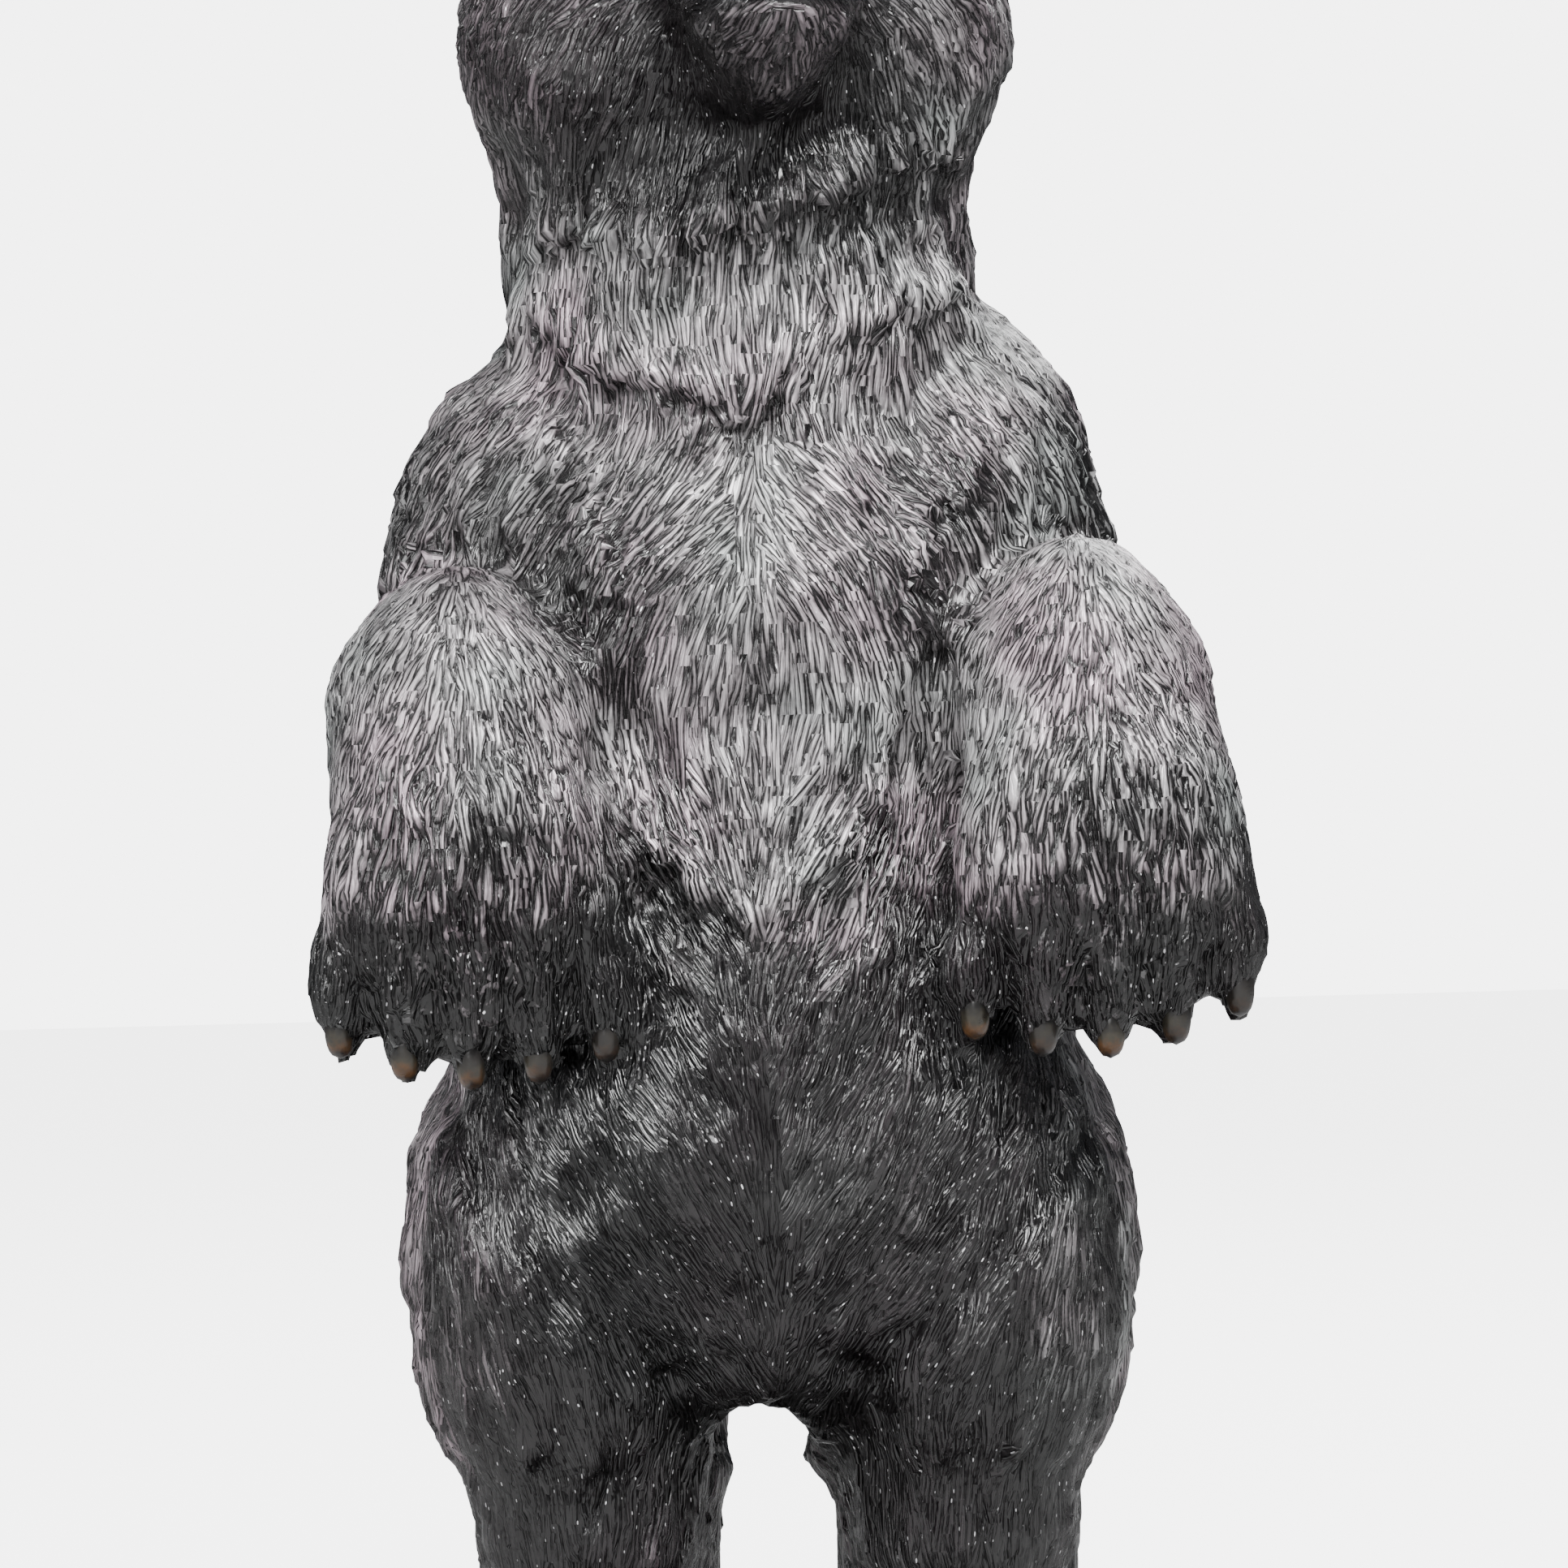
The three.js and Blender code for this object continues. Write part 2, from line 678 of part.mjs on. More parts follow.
function thinOut({ points, faces }, wanted) {
  const around = points.map(() => new Set());
  const quadrics = points.map(() => new Float64Array(10));
  const alive = faces.map(() => true);
  const stamps = new Uint32Array(points.length);
  const crossOf = (a, b, c) => {
    const u = [b[0] - a[0], b[1] - a[1], b[2] - a[2]];
    const v = [c[0] - a[0], c[1] - a[1], c[2] - a[2]];
    return [u[1] * v[2] - u[2] * v[1], u[2] * v[0] - u[0] * v[2], u[0] * v[1] - u[1] * v[0]];
  };
  faces.forEach((face, index) => {
    const [a, b, c] = face.map((corner) => points[corner]);
    const n = crossOf(a, b, c);
    const size = Math.hypot(...n);
    face.forEach((corner) => around[corner].add(index));
    if (size < 1e-9) return;
    const [x, y, z] = n.map((value) => value / size);
    const w = -(x * a[0] + y * a[1] + z * a[2]);
    const plane = [x * x, x * y, x * z, x * w, y * y, y * z, y * w, z * z, z * w, w * w];
    face.forEach((corner) => plane.forEach((value, at) => (quadrics[corner][at] += value * size)));
  });
  const errorAt = (q, [x, y, z]) =>
    q[0] * x * x + 2 * q[1] * x * y + 2 * q[2] * x * z + 2 * q[3] * x + q[4] * y * y +
    2 * q[5] * y * z + 2 * q[6] * y + q[7] * z * z + 2 * q[8] * z + q[9];

  const heap = [];
  const swap = (i, j) => ([heap[i], heap[j]] = [heap[j], heap[i]]);
  const push = (item) => {
    heap.push(item);
    for (let i = heap.length - 1; i > 0; ) {
      const parent = (i - 1) >> 1;
      if (heap[parent].cost <= heap[i].cost) break;
      swap(i, parent);
      i = parent;
    }
  };
  const pop = () => {
    const top = heap[0];
    const last = heap.pop();
    if (heap.length) {
      heap[0] = last;
      for (let i = 0; ; ) {
        let least = i;
        for (const child of [2 * i + 1, 2 * i + 2]) {
          if (child < heap.length && heap[child].cost < heap[least].cost) least = child;
        }
        if (least === i) break;
        swap(i, least);
        i = least;
      }
    }
    return top;
  };
  const bestPlace = (q, a, b) => {
    const middle = a.map((value, axis) => (value + b[axis]) / 2);
    const solved = new THREE.Matrix3().set(q[0], q[1], q[2], q[1], q[4], q[5], q[2], q[5], q[7]);
    const size = q[0] + q[4] + q[7];
    const choices = [a, b, middle];
    if (Math.abs(solved.determinant()) > 1e-4 * size ** 3) {
      const least = new THREE.Vector3(-q[3], -q[6], -q[8]).applyMatrix3(solved.invert()).toArray();
      const move = Math.hypot(...least.map((value, axis) => value - middle[axis]));
      if (move < longestMove) choices.push(least);
    }
    return choices.reduce((best, place) => (errorAt(q, place) < errorAt(q, best) ? place : best));
  };
  const offer = (a, b) => {
    const q = quadrics[a].map((value, index) => value + quadrics[b][index]);
    const place = bestPlace(q, points[a], points[b]);
    const edge = Math.hypot(...points[a].map((value, axis) => value - points[b][axis]));
    const cost = errorAt(q, place) + edgeCost * edge * edge;
    push({ cost, a, b, place, stampA: stamps[a], stampB: stamps[b] });
  };
  const neighbours = (vertex) => {
    const found = new Set();
    for (const index of around[vertex]) faces[index].forEach((corner) => found.add(corner));
    found.delete(vertex);
    return found;
  };
  const facing = (vertices) => {
    const sum = [0, 0, 0];
    for (const vertex of vertices) {
      for (const index of around[vertex]) {
        const normal = crossOf(...faces[index].map((corner) => points[corner]));
        normal.forEach((value, axis) => (sum[axis] += value));
      }
    }
    return sum;
  };
  const agreement = (u, v) =>
    (u[0] * v[0] + u[1] * v[1] + u[2] * v[2]) / (Math.hypot(...u) * Math.hypot(...v) + 1e-12);
  const turnsOver = (vertex, other, place, mean) => {
    for (const index of around[vertex]) {
      const face = faces[index];
      if (face.includes(other)) continue;
      const before = crossOf(...face.map((corner) => points[corner]));
      const after = crossOf(...face.map((corner) => (corner === vertex ? place : points[corner])));
      if (Math.hypot(...after) < leastArea) return true;
      const folds = Math.hypot(...before) > sliverArea
        ? agreement(before, after) < leastAgreement
        : agreement(mean, after) < 0;
      if (folds) return true;
    }
    return false;
  };
  points.forEach((_, vertex) => {
    for (const other of neighbours(vertex)) if (vertex < other) offer(vertex, other);
  });
  let left = faces.length;
  while (left > wanted && heap.length) {
    const { a, b, place, stampA, stampB } = pop();
    if (stamps[a] !== stampA || stamps[b] !== stampB) continue;
    const beside = neighbours(b);
    const shared = [...neighbours(a)].filter((vertex) => beside.has(vertex));
    if (shared.length !== 2) continue;
    const mean = facing([a, b]);
    if (turnsOver(a, b, place, mean) || turnsOver(b, a, place, mean)) continue;
    for (const index of [...around[b]]) {
      const face = faces[index];
      if (face.includes(a)) {
        alive[index] = false;
        left -= 1;
        face.forEach((corner) => around[corner].delete(index));
      } else {
        faces[index] = face.map((corner) => (corner === b ? a : corner));
        around[a].add(index);
      }
    }
    around[b].clear();
    stamps[b] += 1;
    stamps[a] += 1;
    points[a] = place;
    quadrics[b].forEach((value, index) => (quadrics[a][index] += value));
    for (const vertex of neighbours(a)) offer(a, vertex);
  }
  return { points, faces: faces.filter((_, index) => alive[index]) };
}

// Passing between triangles, three.js geometry and solids that can be joined and cut
function geometryOf({ points, faces }) {
  const geometry = new THREE.BufferGeometry();
  geometry.setAttribute("position", new THREE.Float32BufferAttribute(points.flat(), 3));
  geometry.setIndex(faces.flat());
  return geometry;
}

function solidOf(geometry) {
  const bare = geometry.clone();
  bare.deleteAttribute("normal");
  bare.deleteAttribute("uv");
  const merged = mergeVertices(bare, 1e-4);
  const corners = merged.index.array;
  const kept = [];
  for (let index = 0; index < corners.length; index += 3) {
    const [a, b, c] = corners.slice(index, index + 3);
    if (a !== b && b !== c && c !== a) kept.push(a, b, c);
  }
  const vertProperties = merged.attributes.position.array;
  return new wasm.Manifold(new wasm.Mesh({ numProp: 3, vertProperties, triVerts: new Uint32Array(kept) }));
}

function geometryOfSolid(solid) {
  const mesh = solid.getMesh();
  const geometry = new THREE.BufferGeometry();
  geometry.setAttribute("position", new THREE.BufferAttribute(mesh.vertProperties, 3));
  geometry.setIndex(new THREE.BufferAttribute(mesh.triVerts, 1));
  geometry.computeVertexNormals();
  return geometry;
}

// Claws: a pointed horn, turned as a profile and then bent back, set on each finger and toe
function claw({ root, out, bend, length, radius }) {
  const stations = 5;
  const profile = [new THREE.Vector2(0, 0)];
  for (let index = 0; index < stations; index++) {
    const share = index / stations;
    profile.push(new THREE.Vector2(radius * Math.sqrt(1 - share * share), share * length));
  }
  profile.push(new THREE.Vector2(0, length));
  const geometry = new THREE.LatheGeometry(profile, 8);
  const forward = new THREE.Vector3(...out).normalize();
  const towards = new THREE.Vector3(...bend).normalize();
  const across = towards.clone().cross(forward).normalize();
  const inward = forward.clone().cross(across);
  const position = geometry.attributes.position;
  for (let index = 0; index < position.count; index++) {
    const share = position.getY(index) / length;
    const point = new THREE.Vector3(...root)
      .addScaledVector(forward, position.getY(index) * (1 - 0.18 * share * share))
      .addScaledVector(inward, position.getX(index) + 0.42 * length * share * share)
      .addScaledVector(across, position.getZ(index) * 0.86);
    position.setXYZ(index, ...point.toArray());
  }
  return solidOf(geometry);
}

function pawClaws(arm) {
  return Array.from({ length: clawsPerPaw }, (_, index) => {
    const [x, y, z] = fingerAt(arm, index);
    const root = [x, y - 3, z - 9];
    return claw({ root, out: [0, 0.05, -1], bend: [0, 1, 0], length: 15, radius: 4.8 });
  });
}

function footClaws(side) {
  return Array.from({ length: toesPerFoot }, (_, index) => {
    const [x, y, z] = toeAt(side, index);
    const root = [x, y - 10, z + 2];
    return claw({ root, out: [0, -1, -0.1], bend: [0, 0, -1], length: 17, radius: 4.2 });
  });
}

function eyeball(side) {
  const geometry = new THREE.SphereGeometry(eyeAt.radius, 10, 8);
  geometry.translate(...onHead([side * eyeAt.across, eyeAt.forward, eyeAt.height]));
  return solidOf(geometry);
}

// The main body, without any chip that a cut has left loose
function largestOf(solid) {
  return solid.decompose().reduce((best, body) => (body.volume() > best.volume() ? body : best));
}

// The whole casting, trimmed flat below
function castBear() {
  const low = [-142, -146, -8];
  const high = [148, 112, 620];
  const skin = thinOut(layOut(carvedBear, low, high, gridStep), bodyTriangles);
  let casting = solidOf(geometryOf(skin));
  for (const piece of [
    ...arms.flatMap(pawClaws),
    ...[-1, 1].flatMap(footClaws),
    ...[-1, 1].map(eyeball),
  ]) {
    casting = casting.add(piece);
  }
  const under = new THREE.BoxGeometry(400, 400, 60);
  under.translate(0, 0, -30);
  return geometryOfSolid(largestOf(casting.subtract(solidOf(under))));
}

const resin = new THREE.MeshStandardMaterial({ color: 0x2b2829, roughness: 0.42, metalness: 0.35 });

const statue = new THREE.Group();
const bear = new THREE.Mesh(castBear(), resin);
bear.name = "bear_statue";
statue.add(bear);

export default statue;
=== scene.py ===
import math

import bpy
import numpy as np
from mathutils import Matrix, Vector, kdtree, noise


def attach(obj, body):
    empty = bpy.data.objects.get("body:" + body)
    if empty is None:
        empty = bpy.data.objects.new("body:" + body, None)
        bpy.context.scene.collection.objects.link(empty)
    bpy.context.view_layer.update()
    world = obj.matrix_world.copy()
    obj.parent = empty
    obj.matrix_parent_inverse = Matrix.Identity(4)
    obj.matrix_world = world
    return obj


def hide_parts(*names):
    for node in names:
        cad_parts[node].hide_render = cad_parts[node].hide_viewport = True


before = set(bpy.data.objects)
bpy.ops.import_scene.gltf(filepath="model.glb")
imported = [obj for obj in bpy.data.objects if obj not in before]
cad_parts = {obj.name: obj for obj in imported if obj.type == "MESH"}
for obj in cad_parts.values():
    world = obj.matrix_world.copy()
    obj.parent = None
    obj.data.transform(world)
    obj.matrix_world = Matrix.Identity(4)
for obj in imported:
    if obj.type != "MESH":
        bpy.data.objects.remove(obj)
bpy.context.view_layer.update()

mm = 0.001


def clearSelection():
    if bpy.context.object and bpy.context.object.mode != "OBJECT":
        bpy.ops.object.mode_set(mode="OBJECT")
    bpy.ops.object.select_all(action="DESELECT")


def makeActive(obj):
    clearSelection()
    obj.select_set(True)
    bpy.context.view_layer.objects.active = obj


def editAll(obj):
    makeActive(obj)
    bpy.ops.object.mode_set(mode="EDIT")
    bpy.ops.mesh.select_all(action="SELECT")


def leaveEdit():
    bpy.ops.object.mode_set(mode="OBJECT")


def applyModifier(obj, kind, **settings):
    makeActive(obj)
    mod = obj.modifiers.new(kind.lower(), kind)
    for name, value in settings.items():
        setattr(mod, name, value)
    bpy.ops.object.modifier_apply(modifier=mod.name)


def readVectors(items, field):
    flat = np.empty(len(items) * 3, np.float32)
    items.foreach_get(field, flat)
    return flat.reshape(-1, 3).astype(float)


def readPoints(mesh):
    return readVectors(mesh.vertices, "co") / mm


def readNormals(mesh):
    return readVectors(mesh.vertices, "normal")


def readCentres(mesh):
    return readVectors(mesh.polygons, "center") / mm


def writePoints(mesh, points):
    mesh.vertices.foreach_set("co", (points * mm).astype(np.float32).ravel())
    mesh.update()


def storeValues(mesh, name, values):
    layer = mesh.attributes.new(name, "FLOAT", "POINT")
    layer.data.foreach_set("value", values.astype(np.float32))


def unit(vectors):
    return vectors / (np.linalg.norm(vectors, axis=-1, keepdims=True) + 1e-12)


def ramp(value, low, high):
    t = np.clip((value - low) / (high - low), 0, 1)
    return t * t * (3 - 2 * t)


def bell(value, width):
    return np.exp(-(value / width) ** 2)


# the pose, as the casting has it (mm); side -1 is the bear's right, side 1 its left

sides = (-1, 1)
headPose = {"pivot": (0, 4, 478), "turnDegrees": 8, "shift": -4.5}
headTurn = Matrix.Rotation(math.radians(headPose["turnDegrees"]), 3, "Z")


def onHead(point):
    pivot = Vector(headPose["pivot"])
    return headTurn @ (Vector(point) - pivot) + pivot + Vector((headPose["shift"], 0, 0))


armPose = {
    -1: {"elbow": (-79, 18, 343), "wrist": (-75.5, -56, 330), "paw": (-74, -76, 278),
         "swing": -4, "radius": 35},
    1: {"elbow": (77, 18, 342), "wrist": (84.5, -56, 336), "paw": (88, -76, 282),
        "swing": 6, "radius": 33},
}
footPose = (48, -34, 33)
fingersPerPaw = 5
fingerSpread = 34             # half the width of a row of fingers
groundTop = 19.8

# figure: the casting's body

figure = {
    "voxel": 2.63,            # size of the remesh, mm
    "settle": 7,              # rounds of smoothing that take the facets out
    "lockSpacing": 6.0,       # between the roots of the fur locks, mm
    "lockRelief": 2.0,        # how far a lock's tip stands off its root, mm
    "lockSink": 1.2,          # how far the hollows between locks are cut in, mm
    "ledgeHeight": 1.7,       # how far a ruff of fur stands over the fur below it, mm
    "fingerGroove": 3.1,      # depth between the fingers, mm
    "mouthDepth": 1.7,        # mm
    "nostrilDepth": 3.2,      # mm
    "webDepth": 4.5,          # how far the skin comes down between the fingers, mm
    "crisper": 0.75,          # how much the creases and crests of the form are deepened
    "crispRounds": 24,        # rounds of smoothing that creases and crests are told by
    "lockNeighbours": 14,     # locks looked at for each point
    "seed": 11,
}

print("figure: copy of the casting, remeshed")
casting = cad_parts["bear_statue"]
bear = bpy.data.objects.new("carved_bear", casting.data.copy())
bpy.context.scene.collection.objects.link(bear)
bear.data.materials.clear()
editAll(bear)
bpy.ops.mesh.remove_doubles(threshold=0.01 * mm)
leaveEdit()
applyModifier(bear, "REMESH", mode="VOXEL", voxel_size=figure["voxel"] * mm)
applyModifier(bear, "SMOOTH", factor=0.5, iterations=figure["settle"])


# one cut more in the faces near these places
def refineNear(obj, places, reach):
    centres = readCentres(obj.data)
    gaps = [np.linalg.norm(centres - np.array(place), axis=1) for place in places]
    editAll(obj)
    bpy.ops.mesh.select_mode(type="FACE")
    bpy.ops.mesh.select_all(action="DESELECT")
    leaveEdit()
    obj.data.polygons.foreach_set("select", np.min(gaps, axis=0) < reach)
    bpy.ops.object.mode_set(mode="EDIT")
    bpy.ops.mesh.subdivide(number_cuts=1, smoothness=0.4)
    leaveEdit()


refineNear(bear, [onHead((0, -112, 512)), onHead((-25, -66, 538)), onHead((25, -66, 538))], 17)
print("figure:", len(bear.data.vertices), "points")


# how the fur lies; each guide: place, the way the hair runs there, and how far it reaches (mm)
# the guides of the body and the head are mirrored

bodyGuides = [
    ((18, -70, 384), (0.95, 0, -0.8), 20), ((40, -62, 372), (0.7, 0, -1), 22),
    ((22, -72, 356), (0.7, 0, -1), 18), ((46, -62, 350), (0.2, 0, -1), 20),
    ((24, -74, 332), (0.1, 0, -1), 20), ((30, -78, 304), (-0.5, 0, -1), 20),
    ((14, -82, 284), (-0.55, 0, -1), 18), ((44, -74, 262), (-0.6, 0, -1), 24),
    ((20, -84, 240), (-0.5, 0, -1), 22), ((60, -60, 225), (-0.7, 0, -1), 24),
    ((28, -78, 205), (-0.6, 0, -1), 22), ((46, -62, 182), (-0.8, 0.1, -1), 20),
    ((16, -64, 165), (-0.5, 0.1, -1), 16), ((78, -50, 196), (-0.25, 0, -1), 22),
    ((70, -60, 160), (-0.2, 0, -1), 24), ((98, -10, 180), (0, 0.25, -1), 34),
    ((50, -56, 418), (-0.5, 0, -1), 18), ((24, -66, 414), (-0.5, 0, -1), 16),
    ((62, -34, 404), (0.75, 0, -1), 20), ((84, -10, 396), (0.5, 0, -1), 24),
    ((96, 10, 370), (0.05, 0.1, -1), 24), ((58, -52, 388), (0.8, 0, -1), 16),
    ((60, 30, 420), (0.35, 0.3, -1), 26), ((34, 78, 390), (0.25, 0.2, -1), 30),
    ((50, 76, 330), (-0.1, 0.1, -1), 34), ((50, 78, 270), (0.1, 0.15, -1), 34),
    ((46, 84, 200), (0.35, 0.3, -1), 30), ((80, 52, 180), (0.1, 0.3, -1), 30),
    ((60, 40, 120), (0.1, 0.1, -1), 30), ((48, -20, 95), (0, -0.1, -1), 30),
    ((20, -52, 455), (0.15, 0, -1), 22), ((56, -26, 456), (0.15, 0.1, -1), 22),
    ((48, -60, 38), (0.05, -1, -0.25), 26), ((48, -84, 30), (0, -1, -0.5), 18),
    ((48, 20, 36), (0.1, 0.6, -1), 24),
]
headGuides = [
    ((0, -112, 519), (0, 0.9, 0.5), 12), ((10, -92, 520), (0.3, 1, 0.35), 14),
    ((0, -70, 545), (0, 0.5, 1), 16), ((16, -58, 560), (0.3, 0.5, 1), 16),
    ((26, -30, 582), (0.3, 1, 0.4), 22), ((0, 20, 588), (0, 1, -0.1), 26),
    ((30, 46, 560), (0.2, 0.5, -1), 28), ((30, -70, 515), (0.8, 0.6, -0.4), 14),
    ((48, -50, 510), (0.7, 0.5, -0.8), 18), ((62, -20, 510), (0.25, 0.5, -1), 22),
    ((40, -52, 488), (0.3, 0.3, -1), 18), ((58, -20, 545), (0.3, 0.8, -0.5), 18),
    ((0, -80, 488), (0, 0.9, -0.7), 14), ((14, -60, 482), (0.2, 0.6, -1), 16),
    ((14, -104, 500), (0.4, 1, -0.35), 10), ((49, 2, 586), (0.15, 0.1, 1), 13),
]


def mirrored(point, side):
    return side * point[0], *point[1:]


def guideArrays(rows):
    places, ways, reaches = zip(*rows)
    return np.array(places, float), unit(np.array(ways, float)), np.array(reaches, float)


def gatherGuides():
    rows = [(mirrored(place, side), mirrored(way, side), reach)
            for place, way, reach in bodyGuides for side in sides]
    for place, way, reach in headGuides:
        for side in sides:
            start = onHead(mirrored(place, side))
            end = onHead(mirrored([a + b for a, b in zip(place, way)], side))
            rows.append((tuple(start), tuple(end - start), reach))
    return guideArrays(rows)


# on the forearm the hair comes forward over the top, parts there and runs down the front
def gatherArmGuides():
    rows = []
    for side, arm in armPose.items():
        ex, ey, ez = arm["elbow"]
        wx, wy, wz = arm["wrist"]
        px, py, pz = arm["paw"]
        rows += [
            ((ex, ey - 6, ez + 30), (0, -1, -0.2), 20),
            (((ex + wx) / 2, (ey + wy) / 2, (ez + wz) / 2 + 33), (0, -1, -0.3), 20),
            ((wx, wy - 24, wz + 24), (0, -0.5, -1), 12),
            ((ex + side * 28, ey - 20, ez), (side * 0.1, -0.45, -1), 26),
            ((ex, ey + 26, ez - 6), (0, -0.1, -1), 22),
        ]
        for out in sides:
            rows += [
                ((wx + out * 15, wy - 24, wz + 20), (out * 0.9, -0.35, -1), 12),
                ((wx + out * 26, wy - 16, wz + 14), (out * 0.95, -0.2, -1), 14),
                ((wx + out * 12, wy - 32, wz + 4), (out * 0.45, 0, -1), 14),
                ((wx + out * 30, wy - 14, wz - 4), (out * 0.35, 0, -1), 16),
                ((wx + out * 34, wy, wz), (out * 0.2, -0.15, -1), 18),
                ((px + out * 16, py - 24, pz + 26), (out * 0.12, 0, -1), 18),
                ((px + out * 26, py - 22, pz + 14), (out * 0.1, 0, -1), 18),
                ((px + out * 20, py - 20, pz - 12), (out * 0.05, 0.05, -1), 18),
            ]
    return guideArrays(rows)


bodyLie = gatherGuides()
armLie = gatherArmGuides()


# distance from a limb's axis, and the share along it
def limbGap(points, start, end):
    start, end = np.array(start, float), np.array(end, float)
    run = end - start
    share = np.clip((points - start) @ run / (run @ run), 0, 1)
    return np.linalg.norm(points - start - share[:, None] * run, axis=1), share


# 1 on the forearms and paws, 0 on the body
def armShare(points):
    share = np.zeros(len(points))
    for arm in armPose.values():
        fore, along = limbGap(points, arm["elbow"], arm["wrist"])
        heel = (arm["paw"][0], arm["paw"][1] + 8, arm["paw"][2] + 18)
        hand, down = limbGap(points, arm["wrist"], heel)
        fore -= 30 + along * (arm["radius"] - 30)
        hand -= arm["radius"] + down * (35.5 - arm["radius"])
        paw = (points - np.array(arm["paw"])) / np.array([39, 27, 39])
        paw = np.linalg.norm(paw, axis=1) * 30 - 30
        share = np.maximum(share, 1 - ramp(np.minimum(np.minimum(fore, hand), paw), 3, 6.5))
        fingers = (np.abs(points[:, 0] - arm["paw"][0]) < 46) & (points[:, 1] < -66)
        fingers &= (points[:, 2] < arm["paw"][2]) & (points[:, 2] > 232)
        share = np.where(fingers, 1, share)
    return share


def layAlong(points, guides):
    way = np.zeros_like(points)
    way[:, 2] = -0.02
    for place, direction, reach in zip(*guides):
        gap = ((points - place) ** 2).sum(1) / reach ** 2
        way += np.exp(-gap)[:, None] * direction
    return unit(way)


# the way the hair runs, laid along the surface
def combAt(points, normals):
    arm = armShare(points)[:, None]
    way = (1 - arm) * layAlong(points, bodyLie) + arm * layAlong(points, armLie)
    way -= (way * normals).sum(1, keepdims=True) * normals
    return unit(way)


# 1 on the head, 0 from the neck down
def headShare(points):
    return ramp(points[:, 2], 478, 498)


# 1 on the ground base, 0 on the feet and above
def groundShare(points):
    return 1 - ramp(points[:, 2], 18.6, 21.5)


# 1 at the place, fading with distance
def spot(points, place, reach):
    return np.exp(-((points - np.array(place, float)) ** 2).sum(1) / reach ** 2)


def spots(points, places):
    return np.max([spot(points, place, reach) for place, reach in places], axis=0)


# ruffs, folds and creases on the front, each along a line of (x, z); a ruff stands over the fur
# below it, or above it where its height is negative, and a crease is cut in
# left and right here are those of somebody who looks at the bear

ruffs = {  # height as a share of ledgeHeight, and line
    "throat": (1.0, [(-60, 453), (-33, 450), (-10, 449), (8, 453), (34, 463), (59, 474)]),
    "neckRuff": (1.0, [(-58, 434), (-46, 420), (-13, 409), (-1, 401), (8, 410), (19, 420),
                       (44, 431), (61, 437)]),
    "leftArmpit": (-0.8, [(-50, 404), (-44, 382), (-36, 364), (-35, 350)]),
    "rightArmpit": (0.8, [(59, 396), (55, 383), (46, 366), (38, 350)]),
    "bib": (0.95, [(-34, 309), (-28, 290), (-14, 278), (-1, 267), (10, 278), (21, 289),
                   (32, 303), (37, 324)]),
    "innerBib": (0.45, [(-11, 308), (3, 292), (10, 301), (24, 314)]),
    "belly": (0.6, [(-32, 262), (-17, 251), (1, 236), (20, 253), (32, 262)]),
}
creases = {  # depth, width and line
    "leftThigh": (2.6, 5, [(-87, 228), (-74, 200), (-53, 175), (-26, 153)]),
    "rightThigh": (2.6, 5, [(94, 218), (75, 202), (50, 174), (20, 152)]),
    "neckFold": (1.6, 3.5, [(62, 466), (36, 455), (12, 446)]),
    "midline": (0.7, 3, [(-1, 400), (0, 370), (0, 330), (-1, 296)]),
    "lowerMidline": (0.7, 3, [(1, 236), (1, 205), (0, 175)]),
}
slimPlaces = [  # where the forearms fall away towards the elbow: place, reach and depth
    ((-49, -66, 354), 16, 5.5), ((-103, -62, 356), 16, 3.0),
    ((58, -66, 359), 16, 6.0), ((113, -62, 358), 17, 5.0),
]
ragged = {"size": 5.0, "stretch": (0.21, 0.1, 0.07)}  # how far a ruff's edge strays, mm
ledgeFade = {"above": 11, "below": 4.5, "lineEnd": 5}  # mm


# distance from a line in the front plane, below it negative, and 1 along it fading past its ends
def alongLine(points, line):
    nearest = np.full(len(points), 1e9)
    signed = np.zeros(len(points))
    beyond = np.zeros(len(points))
    flat = points[:, [0, 2]]
    last = len(line) - 2
    for index, (start, end) in enumerate(zip(line[:-1], line[1:])):
        start, end = np.array(start, float), np.array(end, float)
        run = end - start
        length = np.linalg.norm(run)
        share = (flat - start) @ run / length ** 2
        foot = start + np.clip(share, 0, 1)[:, None] * run
        gap = np.linalg.norm(flat - foot, axis=1)
        side = np.sign(run[0] * (flat[:, 1] - start[1]) - run[1] * (flat[:, 0] - start[0]))
        over = np.zeros(len(points))
        if index == 0:
            over = np.maximum(over, -share * length)
        if index == last:
            over = np.maximum(over, (share - 1) * length)
        closer = gap < nearest
        nearest = np.where(closer, gap, nearest)
        signed = np.where(closer, gap * side, signed)
        beyond = np.where(closer, over, beyond)
    return signed, np.exp(-np.clip(beyond, 0, None) / ledgeFade["lineEnd"])


def frontShare(points, normals):
    return ramp(-normals[:, 1], -0.1, 0.35) * ramp(-points[:, 1], 5, 30)


